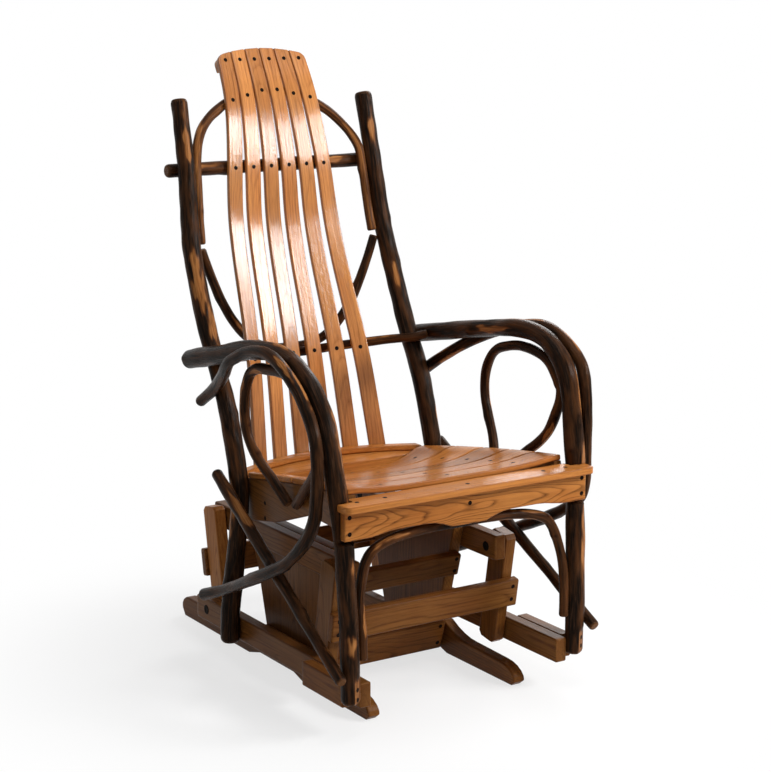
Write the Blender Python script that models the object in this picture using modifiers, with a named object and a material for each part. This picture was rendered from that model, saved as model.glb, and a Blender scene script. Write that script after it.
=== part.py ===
"""Glider rocker of bent hickory poles and oak boards, in metres with +Z up.

The chair faces -Y and +X is on the right of someone who looks at its front. The origin is on the
floor under the middle of the outline. A floor base carries two pairs of swing arms on pivot
bolts, and the chair hangs from the lower ends of those arms.
"""
import math

import bmesh
import bpy
from mathutils import Matrix, Vector
from mathutils.bvhtree import BVHTree

# Gap between pieces that touch, and the stock that most boards are cut from
GAP = 0.0003
BOARD = 0.0255
# Whittled ends of the poles: their length in radii and what is left of the radius
END_TAPER = 0.3
END_SHARE = 0.8
# Corners closer than this are one corner, and the eased edge of straight boards
MERGE = 0.00005
EASED = 0.0015

# Floor base
RUNNER_INNER_X = 0.1573
RUNNER_FRONT_Y = -0.3395
RUNNER_LENGTH = 0.7635
RUNNER_HEIGHT = 0.0686
TOE_LENGTH = 0.160
TOE_REACH = 0.055
TOE_ROUND = 0.034
TOE_HEIGHT = 0.044
TOE_BLUNT = 0.003
HEEL_LENGTH = 0.250
HEEL_HEIGHT = 0.045
RAMP_LENGTH = 0.088
RAMP_STEPS = 4
END_ROUND = 0.026
RELIEF_HEIGHT = 0.0126
RELIEF_START = 0.236
RELIEF_LENGTH = 0.229
RELIEF_RAMP = 0.046
GLIDE_Y = -0.003
UPRIGHT_FOOT_Z = 0.012
UPRIGHT_FOOT_WIDTH = 0.165
UPRIGHT_TOP_WIDTH = 0.325
TOP_RAIL_Z = 0.2423
TOP_RAIL_HEIGHT = 0.0503
TOP_RAIL_OVERHANG = 0.032
CROSS_THICK = 0.020
UPPER_CROSS_Z = 0.2115
UPPER_CROSS_SIZE = (0.2966, 0.048)
LOWER_CROSS_Z = 0.0520
LOWER_CROSS_SIZE = (0.2790, 0.066)

# Swing arms and their pivots
BEARING = 0.003
TOP_PIVOT_Z = 0.2652
TOP_PIVOT_SPAN = 0.471
LOW_PIVOT_Z = 0.0823
LOW_PIVOT_SPAN = 0.407
SWING_WIDTH = 0.0526
SWING_CLIP = 0.008
STRETCHER_HEIGHT = 0.0580
STRETCHER_OVERHANG = 0.006
STRETCHER_THICK = 0.018
STRETCHER_DROP = 0.091
BOLT_RADIUS = 0.005
BOLT_HEAD_RADIUS = 0.010
BOLT_HEAD = 0.005
HEAD_POCKET = 0.0056
LINK_PLAY = 0.0032

# Chair frame
RAIL_Z = 0.057
RAIL_HEIGHT = 0.048
RAIL_OVERHANG = 0.043
RAIL_NOSE = 0.019
FRONT_BLOCK_CLEARANCE = 0.0163
FRONT_Y = -0.4046
SEAT_DEPTH = 0.4691
SEAT_Z = 0.436
SEAT_HALF_WIDTH = 0.2743
ARM_RISE = 0.2509
POST_RADIUS = 0.0194
POST_TIP = 0.93
POST_HALF_SPREAD = 0.2345
POST_TOP_HALF_SPREAD = 0.2199
POST_RISE = 0.725
POST_LEAN = 0.2512
ARM_RADIUS = 0.0187
LEG_FOOT_LIFT = 0.0136
LEG_REAR_Y = -0.3788
OUTER_RADIUS = 0.0119
LOOP_RADIUS = 0.0100
BRACE_RADIUS = 0.0132
BRACE_TIP = 0.75
FRONT_BOW_RADIUS = 0.0097
FRONT_BOW_FOOT = 0.245
FRONT_BOW_SHOULDER = 0.018
FRONT_BOW_CROWN = 0.050
BOW_RADIUS = 0.0096
UPPER_BAR_RADIUS = 0.0140
UPPER_BAR_Z = 0.985
UPPER_BAR_HALF = 0.2537
LOWER_BAR_RADIUS = 0.0098

# Seat
APRON_THICK = 0.016
APRON_END = 0.0545
APRON_ARCH = 0.0075
APRON_DROP = 0.0070
NOSING_THICK = 0.0137
NOSING_LIP = 0.0195
NOSING_OVERHANG = 0.0065
NOSING_CORNER = 0.010
LEG_CLEARANCE = 0.003
SIDE_APRON_THICK = 0.018
SIDE_APRON_FRONT = 0.0555
SIDE_APRON_REAR = 0.132
SEAT_SLATS = 5
SLAT_THICK = 0.0115
SLAT_SEAM = 0.0045
SLAT_GROWTH = 0.0275
SLAT_COLUMNS = 16
RIM_FRONT = 0.0337
RIM_DROP = 0.0674
RIM_BULGE = 0.0052
DISH_FRONT = 0.007
DISH_REAR = 0.032
DISH_MARGIN = 0.004
REAR_BOARD_TOP_Z = 0.3886
REAR_BOARD_THICK = 0.0255
REAR_RAIL_DEPTH = 0.0250
REAR_RAIL_HEIGHT = 0.0120

# Back
BACK_SLATS = 6
BACK_SLAT_WIDTH = 0.0340
BACK_SLAT_THICK = 0.0095
BACK_FOOT_BEHIND = 0.0910
BACK_FOOT_Z = 0.3770
BACK_TOP_Z = 1.2253
BACK_TOP_LEAN = 0.087
BACK_CROWN = 1.20
CREST_HEIGHT = 0.0275
CREST_THICK = 0.0160
CREST_DROP = 0.0165
CREST_HALF = 0.102
BOW_FOOT_Z = 0.838
BOW_RISE = 0.150
BOW_TURN = 0.65
BOW_BEHIND = 0.006
LOW_BOW_TOP_Z = 0.828
LOW_BOW_Z = 0.6058
LOW_BOW_POWER = 2.85
LOWER_BAR_END_Z = 0.631
LOWER_BAR_DIP = 0.034
LOWER_BAR_POWER = 2.6

# Shares of rise and lean: the posts above the seat, the back up to its bar, the back above it
POST_BEND = ((0.17, 0.155), (0.33, 0.400), (0.46, 0.580), (0.61, 0.750), (0.80, 0.860), (1.0, 1.0))
BACK_BEND = ((0.0, 0.0), (0.371, 0.326), (0.70, 0.790), (0.87, 0.960), (1.0, 1.0))
CREST_BEND = ((0.58, 0.41), (0.905, 0.87), (1.0, 1.0))
# The bends of the poles that differ from left (-1) to right (1), in shares of the seat's depth and
# of the arms' rise over the seat, or of the drop from the seat to the rails (LOW)
ARM_BEND = {
    -1: ((0.083, 0.204), (0.116, 0.440), (0.162, 0.636), (0.275, 0.856), (0.415, 0.975), (0.560, 1.000),
         (0.757, 0.955), (0.964, 0.861), (1.285, 0.720)),
    1: ((0.079, 0.271), (0.109, 0.597), (0.155, 0.799), (0.266, 0.955), (0.419, 0.999), (0.570, 0.970),
        (0.738, 0.916), (0.967, 0.834), (1.316, 0.705)),
}
OUTER_BEND = {
    -1: ((0.790, 0.865), (0.658, 0.975), (0.540, 1.020), (0.444, 1.015), (0.345, 0.945), (0.265, 0.855),
         (0.193, 0.738), (0.115, 0.525), (0.098, 0.216), (0.107, 0.042)),
    1: ((0.790, 0.840), (0.630, 0.945), (0.440, 1.018), (0.340, 1.015), (0.230, 0.945), (0.148, 0.840),
        (0.105, 0.715), (0.085, 0.433), (0.082, 0.082)),
}
OUTER_BEND_LOW = {
    -1: ((0.124, 0.939), (0.178, 0.833), (0.264, 0.732), (0.375, 0.635), (0.540, 0.535)),
    1: ((0.080, 0.940), (0.110, 0.835), (0.186, 0.755), (0.350, 0.645), (0.540, 0.540)),
}
LOOP_BEND = {
    -1: ((0.650, 0.020), (0.735, 0.160), (0.785, 0.340), (0.790, 0.550), (0.765, 0.720), (0.695, 0.840)),
    1: ((0.590, 0.040), (0.645, 0.190), (0.698, 0.360), (0.708, 0.530), (0.680, 0.690), (0.615, 0.810)),
}
# How hollow the back is at shares of its rise, in metres of depth for each square metre
BACK_STEPS = ((0.0, 0.0567), (0.36, 0.0490), (0.475, 0.0470), (0.60, 0.0452), (0.717, 0.0424), (0.864, 0.0371),
              (1.0, 0.0347))
BACK_HOLLOW = ((0.0, 1.30), (0.265, 1.25), (0.55, 0.50), (0.717, 0.0), (0.88, 0.40), (1.0, 0.40))

# Sizes that follow from the ones above
SIDES = (("left", -1), ("right", 1))
RUNNER_OUTER_X = RUNNER_INNER_X + BOARD
SWING_INNER_X = RUNNER_OUTER_X + BEARING
SWING_OUTER_X = SWING_INNER_X + BOARD
RAIL_INNER_X = SWING_OUTER_X + BEARING
RAIL_OUTER_X = RAIL_INNER_X + BOARD
RAIL_TOP_Z = RAIL_Z + RAIL_HEIGHT
FRONT_BLOCK_REAR_Y = GLIDE_Y - LOW_PIVOT_SPAN / 2 - BOLT_HEAD_RADIUS - FRONT_BLOCK_CLEARANCE
FRONT_BLOCK_LENGTH = FRONT_BLOCK_REAR_Y - LEG_REAR_Y
POST_Y = FRONT_Y + SEAT_DEPTH
BACK_FOOT_Y = POST_Y + BACK_FOOT_BEHIND
APRON_BACK_Y = FRONT_Y + APRON_THICK
NOSING_Z = SEAT_Z + GAP
NOSING_TOP_Z = NOSING_Z + NOSING_THICK
TOP_RAIL_TOP_Z = TOP_RAIL_Z + TOP_RAIL_HEIGHT
TOP_RAIL_LENGTH = TOP_PIVOT_SPAN + 2 * TOP_RAIL_OVERHANG
SLAT_FOOT_GAP = 3 * GAP


def clear_scene():
    for old in list(bpy.data.objects):
        bpy.data.objects.remove(old, do_unlink=True)


def new_collection(name):
    group = bpy.data.collections.new(name)
    bpy.context.scene.collection.children.link(group)
    return group


def wood(name, colour, roughness, metallic=0.0):
    """A Principled material of one colour."""
    made = bpy.data.materials.new(name)
    made.use_nodes = True
    shader = made.node_tree.nodes["Principled BSDF"]
    shader.inputs["Base Color"].default_value = (*colour, 1.0)
    shader.inputs["Roughness"].default_value = roughness
    shader.inputs["Metallic"].default_value = metallic
    made.diffuse_color = (*colour, 1.0)
    return made


clear_scene()
PARTS = new_collection("glider_rocker")
CUTTERS = new_collection("cutters")
BARK = wood("hickory_bark", (0.075, 0.045, 0.030), 0.38)
OAK = wood("oak_slats", (0.620, 0.360, 0.150), 0.35)
FRAME_OAK = wood("oak_frame", (0.480, 0.270, 0.110), 0.40)
STEEL = wood("dark_steel", (0.060, 0.055, 0.050), 0.45, 1.0)


def empty(name, y, z):
    """A pivot on the line x = 0 that carries the pieces of one moving body."""
    pivot = bpy.data.objects.new(name, None)
    pivot.location = (0.0, y, z)
    PARTS.objects.link(pivot)
    return pivot


def unlinked():
    """The primitive that was just added, taken out of the collections that Blender put it in."""
    made = bpy.context.active_object
    for group in made.users_collection:
        group.objects.unlink(made)
    return made


def finish(made, name, material, parent=None, collection=PARTS):
    """Names a piece, gives it its material and hangs it on its pivot."""
    made.name = name
    made.data.name = name
    made.data.materials.clear()
    made.data.materials.append(material)
    collection.objects.link(made)
    if parent is not None:
        made.parent = parent
        made.matrix_parent_inverse = Matrix.Translation(-parent.location)
    return made


def as_mesh(curve_object):
    """Turns a curve object that isn't linked yet into a closed mesh object."""
    bpy.context.scene.collection.objects.link(curve_object)
    bpy.context.view_layer.update()
    evaluated = curve_object.evaluated_get(bpy.context.evaluated_depsgraph_get())
    mesh = bpy.data.meshes.new_from_object(evaluated)
    made = bpy.data.objects.new(curve_object.name, mesh)
    made.matrix_world = curve_object.matrix_world
    bpy.data.objects.remove(curve_object, do_unlink=True)
    shape = bmesh.new()
    shape.from_mesh(mesh)
    bmesh.ops.remove_doubles(shape, verts=shape.verts, dist=MERGE)
    bmesh.ops.recalc_face_normals(shape, faces=shape.faces)
    shape.to_mesh(mesh)
    shape.free()
    return made


def blend(a, b, share):
    return a + (b - a) * share


def ease(share):
    """Runs smoothly from 0 to 1 and stays there outside that range."""
    clipped = min(max(share, 0.0), 1.0)
    return clipped * clipped * (3.0 - 2.0 * clipped)


def read_curve(table, share):
    """The value at a share of a short list of (share, value)."""
    for (s0, v0), (s1, v1) in zip(table, table[1:]):
        if share <= s1:
            return blend(v0, v1, (share - s0) / (s1 - s0))
    return table[-1][1]


def smooth_path(controls, steps):
    """Points on a Catmull-Rom curve through the control points."""
    points = [Vector(c) for c in controls]
    ends = [2 * points[0] - points[1]] + points + [2 * points[-1] - points[-2]]
    path = []
    for before, a, b, after in zip(ends, ends[1:], ends[2:], ends[3:]):
        for step in range(steps):
            t = step / steps
            path.append(0.5 * (2 * a + (b - before) * t + (2 * before - 5 * a + 4 * b - after) * t * t
                               + (3 * a - before - 3 * b + after) * t ** 3))
    path.append(points[-1])
    return path


def arc(centre, radii, start, end, steps):
    """Points on part of an ellipse in a plane, from one angle in degrees to another."""
    turns = [math.radians(blend(start, end, step / steps)) for step in range(steps + 1)]
    return [(centre[0] + radii[0] * math.cos(a), centre[1] + radii[1] * math.sin(a)) for a in turns]


def tube(name, path, radius, tip=1.0):
    """An eight-sided tube along a path with whittled ends, its radius falling to a share at the tip."""
    curve = bpy.data.curves.new(name, "CURVE")
    curve.dimensions = "3D"
    curve.bevel_depth = radius
    curve.bevel_resolution = 2
    curve.use_fill_caps = True
    first = path[0] + (path[1] - path[0]).normalized() * END_TAPER * radius
    last = path[-1] + (path[-2] - path[-1]).normalized() * END_TAPER * radius
    points = [path[0], first] + list(path[1:-1]) + [last, path[-1]]
    spline = curve.splines.new("POLY")
    spline.points.add(len(points) - 1)
    for index, point in enumerate(points):
        spline.points[index].co = (*point, 1.0)
        spline.points[index].radius = blend(1.0, tip, index / (len(points) - 1))
    spline.points[0].radius *= END_SHARE
    spline.points[-1].radius *= END_SHARE
    return as_mesh(bpy.data.objects.new(name, curve))


def pole(name, path, radius, tip=1.0):
    """A bark pole of the chair."""
    made = tube(name, path, radius, tip)
    made.data.shade_smooth()
    return finish(made, name, BARK, CHAIR)


def plank(name, outline, thick, frame, material, parent):
    """A flat outline with an equal thickness on each side of its plane, placed by a matrix."""
    curve = bpy.data.curves.new(name, "CURVE")
    curve.dimensions = "2D"
    curve.fill_mode = "BOTH"
    curve.extrude = thick / 2
    spline = curve.splines.new("POLY")
    spline.points.add(len(outline) - 1)
    for index, (u, v) in enumerate(outline):
        spline.points[index].co = (u, v, 0.0, 1.0)
    spline.use_cyclic_u = True
    made = bpy.data.objects.new(name, curve)
    made.matrix_world = frame
    return finish(as_mesh(made), name, material, parent)


def side_frame(x):
    """Maps a side-view outline (y, z) to the plane at x."""
    return Matrix(((0, 0, 1, x), (1, 0, 0, 0), (0, 1, 0, 0), (0, 0, 0, 1)))


def front_frame(y):
    """Maps a front-view outline (x, z) to the plane at y."""
    return Matrix(((1, 0, 0, 0), (0, 0, -1, y), (0, 1, 0, 0), (0, 0, 0, 1)))


def strip(name, rows, columns, place, thick, material, parent):
    """A bent board: a grid whose points place(u, v) gives, made solid away from its shown face."""
    shape = bmesh.new()
    bmesh.ops.create_grid(shape, x_segments=columns, y_segments=rows, size=0.5)
    for vert in shape.verts:
        vert.co = place(vert.co.x + 0.5, vert.co.y + 0.5)
    mesh = bpy.data.meshes.new(name)
    shape.to_mesh(mesh)
    shape.free()
    made = finish(bpy.data.objects.new(name, mesh), name, material, parent)
    solid = made.modifiers.new("thickness", "SOLIDIFY")
    solid.thickness = thick
    solid.offset = -1.0
    return made


def box_board(name, size, centre, tilt, material, parent):
    """A straight board with slightly eased edges, tilted about X."""
    bpy.ops.mesh.primitive_cube_add(size=1.0)
    made = unlinked()
    made.data.transform(Matrix.Diagonal((*size, 1.0)))
    made.matrix_world = Matrix.Translation(centre) @ Matrix.Rotation(tilt, 4, "X")
    finish(made, name, material, parent)
    bevel = made.modifiers.new("eased edges", "BEVEL")
    bevel.width = EASED
    bevel.segments = 1
    return made


def hole(target, x_from, x_to, y, z, radius):
    """Bores a hole along X through a board."""
    bpy.ops.mesh.primitive_cylinder_add(vertices=12, radius=radius, depth=abs(x_to - x_from) + 2 * BOARD)
    cutter = unlinked()
    CUTTERS.objects.link(cutter)
    cutter.name = "bore_" + target.name
    cutter.matrix_world = (Matrix.Translation(((x_from + x_to) / 2, y, z))
                           @ Matrix.Rotation(math.pi / 2, 4, "Y"))
    add_cut(target, cutter)


def head_pocket(target, face_x, inward, y, z):
    """Sinks a round seat for a bolt's head into a board's face."""
    middle = face_x + inward * (HEAD_POCKET - BOARD)
    hole(target, middle, middle, y, z, BOLT_HEAD_RADIUS + GAP)


def add_cut(target, cutter):
    """Takes a cutter's shape out of a piece."""
    cutter.hide_render = True
    cutter.display_type = "WIRE"
    cut = target.modifiers.new("cut", "BOOLEAN")
    cut.operation = "DIFFERENCE"
    cut.object = cutter


def bolt(name, side, head_x, tip_x, y, z, parent):
    """A pivot bolt along X: a shank with a wider head at one end, turned from one profile."""
    length = abs(tip_x - head_x)
    away = 1 if tip_x > head_x else -1
    profile = [(0.0, length), (BOLT_RADIUS, length), (BOLT_RADIUS, 0.0), (BOLT_HEAD_RADIUS, 0.0),
               (BOLT_HEAD_RADIUS, -BOLT_HEAD), (0.0, -BOLT_HEAD)]
    mesh = bpy.data.meshes.new(name)
    mesh.from_pydata([(r, 0.0, h) for r, h in profile], [(i, i + 1) for i in range(len(profile) - 1)], [])
    made = bpy.data.objects.new(name, mesh)
    made.matrix_world = (Matrix.Translation((side * head_x, y, z))
                         @ Matrix.Rotation(side * away * math.pi / 2, 4, "Y"))
    finish(made, name, STEEL, parent)
    turn = made.modifiers.new("turn", "SCREW")
    turn.steps = 12
    turn.render_steps = 12
    turn.use_merge_vertices = True
    turn.merge_threshold = MERGE
    return made


def search_tree(made):
    """The surface of a finished piece, ready for contact tests."""
    bpy.context.view_layer.update()
    evaluated = made.evaluated_get(bpy.context.evaluated_depsgraph_get())
    mesh = evaluated.to_mesh()
    points = [made.matrix_world @ vert.co for vert in mesh.vertices]
    faces = [tuple(face.vertices) for face in mesh.polygons]
    evaluated.to_mesh_clear()
    return BVHTree.FromPolygons(points, faces)


def seat(path_at, radius, neighbours, close, clear):
    """Moves a pole from a clear place towards a close one until it is a gap away from its neighbours.

    path_at(value) gives the pole's path. The value of the last clear place comes back.
    """
    trees = [search_tree(made) for made in neighbours]
    for _ in range(13):
        middle = (close + clear) / 2
        trial = tube("trial", path_at(middle), radius + GAP)
        shape = BVHTree.FromPolygons([vert.co for vert in trial.data.vertices],
                                     [tuple(face.vertices) for face in trial.data.polygons])
        bpy.data.meshes.remove(trial.data)
        if any(shape.overlap(tree) for tree in trees):
            close = middle
        else:
            clear = middle
    return clear


def back(share):
    """Y at a share of the seat's depth, from the apron's face to the posts."""
    return FRONT_Y + share * SEAT_DEPTH


def down(share):
    """Z at a share of the way from the rails' underside to the seat."""
    return RAIL_Z + share * (SEAT_Z - RAIL_Z)


def up(share):
    """Z at a share of the way from the seat to the arms."""
    return SEAT_Z + share * ARM_RISE


def at_height(path, z):
    """The point of an upright path at a height."""
    for a, b in zip(path, path[1:]):
        if min(a.z, b.z) <= z <= max(a.z, b.z) and a.z != b.z:
            return a.lerp(b, (z - a.z) / (b.z - a.z))
    return path[0] if z < path[0].z else path[-1]


# The four bodies: the base stands still, and the others turn on these pivots
FRONT_SWING = empty("front_swing_pivot", GLIDE_Y - TOP_PIVOT_SPAN / 2, TOP_PIVOT_Z)
REAR_SWING = empty("rear_swing_pivot", GLIDE_Y + TOP_PIVOT_SPAN / 2, TOP_PIVOT_Z)
CHAIR = empty("chair_pivot", GLIDE_Y - LOW_PIVOT_SPAN / 2, LOW_PIVOT_Z)


def floor_runner(label, side):
    """A long foot with a low rounded toe and heel, a ramp up to its middle from each and a relieved underside."""
    front = RUNNER_FRONT_Y
    rear = RUNNER_FRONT_Y + RUNNER_LENGTH
    relief = front + RELIEF_START
    toe = arc((front + TOE_REACH, TOE_HEIGHT - TOE_ROUND), (TOE_REACH, TOE_ROUND - TOE_BLUNT), 180, 90, 5)
    climb = [(RAMP_LENGTH * step / RAMP_STEPS, (step / RAMP_STEPS) ** 2) for step in range(RAMP_STEPS + 1)]
    toe_ramp = [(front + TOE_LENGTH + run, blend(TOE_HEIGHT, RUNNER_HEIGHT, rise)) for run, rise in climb]
    heel_ramp = [(rear - HEEL_LENGTH - run, blend(HEEL_HEIGHT, RUNNER_HEIGHT, rise))
                 for run, rise in reversed(climb)]
    heel = arc((rear - END_ROUND, HEEL_HEIGHT - END_ROUND), (END_ROUND, END_ROUND), 90, 0, 4)
    outline = [
        (front + END_ROUND / 2, 0.0), *toe, *toe_ramp, *heel_ramp, *heel,
        (rear - END_ROUND / 2, 0.0),
        (relief + RELIEF_LENGTH, 0.0), (relief + RELIEF_LENGTH - RELIEF_RAMP, RELIEF_HEIGHT),
        (relief + RELIEF_RAMP, RELIEF_HEIGHT), (relief, 0.0),
    ]
    frame = side_frame(side * (RUNNER_INNER_X + BOARD / 2))
    return plank(f"{label}_floor_runner", outline, BOARD, frame, FRAME_OAK, None)


def upright_edge(end, z):
    """Y of an upright's front (-1) or rear (+1) edge at a height."""
    share = (z - UPRIGHT_FOOT_Z) / (TOP_RAIL_TOP_Z - UPRIGHT_FOOT_Z)
    return GLIDE_Y + end * blend(UPRIGHT_FOOT_WIDTH, UPRIGHT_TOP_WIDTH, share) / 2


def upright(label, side):
    """A wide plank, broader at its top, on the inner faces of the runner and the top rail."""
    outline = [(upright_edge(-1, UPRIGHT_FOOT_Z), UPRIGHT_FOOT_Z),
               (upright_edge(1, UPRIGHT_FOOT_Z), UPRIGHT_FOOT_Z),
               (upright_edge(1, TOP_RAIL_TOP_Z), TOP_RAIL_TOP_Z),
               (upright_edge(-1, TOP_RAIL_TOP_Z), TOP_RAIL_TOP_Z)]
    frame = side_frame(side * (RUNNER_INNER_X - GAP - BOARD / 2))
    return plank(f"{label}_upright", outline, BOARD, frame, FRAME_OAK, None)


def top_rail(label, side):
    """A rail along the top of an upright that carries the upper pivots at its ends."""
    half = TOP_RAIL_LENGTH / 2
    outline = [(GLIDE_Y - half, TOP_RAIL_Z), (GLIDE_Y + half, TOP_RAIL_Z),
               (GLIDE_Y + half, TOP_RAIL_TOP_Z), (GLIDE_Y - half, TOP_RAIL_TOP_Z)]
    frame = side_frame(side * (RUNNER_INNER_X + BOARD / 2))
    made = plank(f"{label}_top_rail", outline, BOARD, frame, FRAME_OAK, None)
    for end in (-1, 1):
        y = GLIDE_Y + end * TOP_PIVOT_SPAN / 2
        hole(made, side * RUNNER_INNER_X, side * RUNNER_OUTER_X, y, TOP_PIVOT_Z, BOLT_RADIUS + GAP)
        head_pocket(made, side * RUNNER_INNER_X, side, y, TOP_PIVOT_Z)
    return made


def cross_board(name, end, z, sides):
    """A board across both uprights, flat on their front or rear edges."""
    rise = TOP_RAIL_TOP_Z - UPRIGHT_FOOT_Z
    slope = math.atan((UPRIGHT_TOP_WIDTH - UPRIGHT_FOOT_WIDTH) / 2 / rise)
    out = (CROSS_THICK / 2 + GAP) / math.cos(slope)
    centre = (0.0, upright_edge(end, z) + end * out, z)
    return box_board(name, (sides[0], CROSS_THICK, sides[1]), centre, -end * slope, FRAME_OAK, None)


def swing_arm(name, side, end, body):
    """A hanging arm with clipped corners, bored for its upper and lower pivots."""
    top = Vector((GLIDE_Y + end * TOP_PIVOT_SPAN / 2, TOP_PIVOT_Z))
    low = Vector((GLIDE_Y + end * LOW_PIVOT_SPAN / 2, LOW_PIVOT_Z))
    along = (top - low).normalized()
    across = Vector((along.y, -along.x))
    half = SWING_WIDTH / 2
    short = half - SWING_CLIP
    corners = ((short, half), (half, short), (half, -short), (short, -half))
    outline = [tuple(top + a * along + b * across) for a, b in corners]
    outline += [tuple(low - a * along - b * across) for a, b in corners]
    frame = side_frame(side * (SWING_INNER_X + BOARD / 2))
    made = plank(name, outline, BOARD, frame, FRAME_OAK, body)
    play = LINK_PLAY if end > 0 else GAP
    hole(made, side * SWING_INNER_X, side * SWING_OUTER_X, top.x, top.y, BOLT_RADIUS + GAP)
    hole(made, side * SWING_INNER_X, side * SWING_OUTER_X, low.x, low.y, BOLT_RADIUS + play)
    return made


def stretcher(name, end, body):
    """A board across a pair of swing arms, flat on their outer edges."""
    reach = (TOP_PIVOT_SPAN - LOW_PIVOT_SPAN) / 2
    slope = math.atan(reach / (TOP_PIVOT_Z - LOW_PIVOT_Z))
    along = STRETCHER_DROP / math.cos(slope)
    out = SWING_WIDTH / 2 + STRETCHER_THICK / 2 + GAP
    y = GLIDE_Y + end * (TOP_PIVOT_SPAN / 2 - along * math.sin(slope) + out * math.cos(slope))
    z = TOP_PIVOT_Z - along * math.cos(slope) - out * math.sin(slope)
    size = (2 * (SWING_OUTER_X + STRETCHER_OVERHANG), STRETCHER_THICK, STRETCHER_HEIGHT)
    return box_board(name, size, (0.0, y, z), -end * slope, FRAME_OAK, body)


for label, side in SIDES:
    floor_runner(label, side)
    upright(label, side)
    top_rail(label, side)
cross_board("upper_front_crossboard", -1, UPPER_CROSS_Z, UPPER_CROSS_SIZE)
cross_board("lower_front_crossboard", -1, LOWER_CROSS_Z, LOWER_CROSS_SIZE)
cross_board("rear_crossboard", 1, UPPER_CROSS_Z, UPPER_CROSS_SIZE)
stretcher("front_stretcher", -1, FRONT_SWING)
stretcher("rear_stretcher", 1, REAR_SWING)
for label, side in SIDES:
    for word, end, swing in (("front", -1, FRONT_SWING), ("rear", 1, REAR_SWING)):
        swing_arm(f"{word}_{label}_swing_arm", side, end, swing)
        bolt(f"{word}_{label}_top_bolt", side, RUNNER_INNER_X + HEAD_POCKET - GAP, SWING_OUTER_X - GAP,
             GLIDE_Y + end * TOP_PIVOT_SPAN / 2, TOP_PIVOT_Z, None)
        bolt(f"{word}_{label}_low_bolt", side, RAIL_OUTER_X - HEAD_POCKET + GAP, SWING_INNER_X + GAP,
             GLIDE_Y + end * LOW_PIVOT_SPAN / 2, LOW_PIVOT_Z, CHAIR)


def lower_rail(label, side):
    """A rail beside the swing arms that carries the lower pivots, and a block outside its front end."""
    front, rear = LEG_REAR_Y - RAIL_NOSE, GLIDE_Y + LOW_PIVOT_SPAN / 2 + RAIL_OVERHANG
    outline = [(front, RAIL_Z), (rear, RAIL_Z), (rear, RAIL_TOP_Z), (front, RAIL_TOP_Z)]
    frame = side_frame(side * (RAIL_INNER_X + BOARD / 2))
    rail = plank(f"{label}_lower_rail", outline, BOARD, frame, FRAME_OAK, CHAIR)
    for end in (-1, 1):
        y = GLIDE_Y + end * LOW_PIVOT_SPAN / 2
        hole(rail, side * RAIL_INNER_X, side * RAIL_OUTER_X, y, LOW_PIVOT_Z, BOLT_RADIUS + GAP)
        head_pocket(rail, side * RAIL_OUTER_X, -side, y, LOW_PIVOT_Z)
    size = (BOARD, FRONT_BLOCK_LENGTH, RAIL_HEIGHT)
    centre = (side * (RAIL_OUTER_X + GAP + BOARD / 2), LEG_REAR_Y + FRONT_BLOCK_LENGTH / 2,
              RAIL_Z + RAIL_HEIGHT / 2)
    block = box_board(f"{label}_front_block", size, centre, 0.0, FRAME_OAK, CHAIR)
    return [rail, block]


def post_path(side, foot_x):
    """A rear post: it stands against the rail, draws in to the seat and leans back above it."""
    base_z = down(0.914)
    points = [(foot_x, back(0.997), RAIL_Z), (foot_x, back(0.989), RAIL_TOP_Z + POST_RADIUS),
              (blend(foot_x, POST_HALF_SPREAD, 0.45), back(0.979), down(0.465)),
              (blend(foot_x, POST_HALF_SPREAD, 0.93), back(0.979), down(0.754)),
              (POST_HALF_SPREAD, POST_Y, base_z)]
    for rise, lean in POST_BEND:
        x = blend(POST_HALF_SPREAD, POST_TOP_HALF_SPREAD, ease((rise - 0.45) / 0.55))
        points.append((x, POST_Y + lean * POST_LEAN, base_z + rise * POST_RISE))
    return smooth_path([(side * x, y, z) for x, y, z in points], 3)


def arm_path(side, arm_x, foot_y):
    """A front leg that bends over at the top into the arm rest and runs past the post."""
    foot_x = RAIL_OUTER_X + ARM_RADIUS
    points = [(foot_x, foot_y, RAIL_Z + LEG_FOOT_LIFT),
              (blend(foot_x, arm_x, 0.10), foot_y + 0.001, down(0.31)),
              (blend(foot_x, arm_x, 0.28), back(0.027), down(0.56)),
              (blend(foot_x, arm_x, 0.45), back(0.041), down(0.815)),
              (blend(foot_x, arm_x, 0.78), back(0.051), down(0.97))]
    points += [(arm_x, back(b), up(u)) for b, u in ARM_BEND[side]]
    return smooth_path([(side * x, y, z) for x, y, z in points], 2)


def post_and_arm(label, side):
    """A rear post seated on its rail, and an arm pole seated on the post and the front block."""
    boards = lower_rail(label, side)
    clear = RAIL_OUTER_X + 2 * POST_RADIUS
    foot_x = seat(lambda x: post_path(side, x), POST_RADIUS, boards[:1], RAIL_OUTER_X, clear)
    post_line = post_path(side, foot_x)
    post = pole(f"{label}_rear_post", post_line, POST_RADIUS, POST_TIP)
    leg_y = LEG_REAR_Y - 2 * ARM_RADIUS
    beside = POST_HALF_SPREAD + 4 * POST_RADIUS
    arm_x = seat(lambda x: arm_path(side, x, leg_y), ARM_RADIUS, [post], POST_HALF_SPREAD, beside)
    leg_y = seat(lambda y: arm_path(side, arm_x, y), ARM_RADIUS, boards, LEG_REAR_Y, leg_y)
    arm_line = arm_path(side, arm_x, leg_y)
    arm = pole(f"{label}_inner_arm", arm_line, ARM_RADIUS)
    return post_line, post, arm_line, arm


LINES = {}
for label, side in SIDES:
    LINES[side] = post_and_arm(label, side)
POSTS = {side: lines[0] for side, lines in LINES.items()}
POST_POLES = [lines[1] for lines in LINES.values()]
ARMS = {side: lines[2] for side, lines in LINES.items()}
ARM_POLES = {side: lines[3] for side, lines in LINES.items()}


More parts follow.
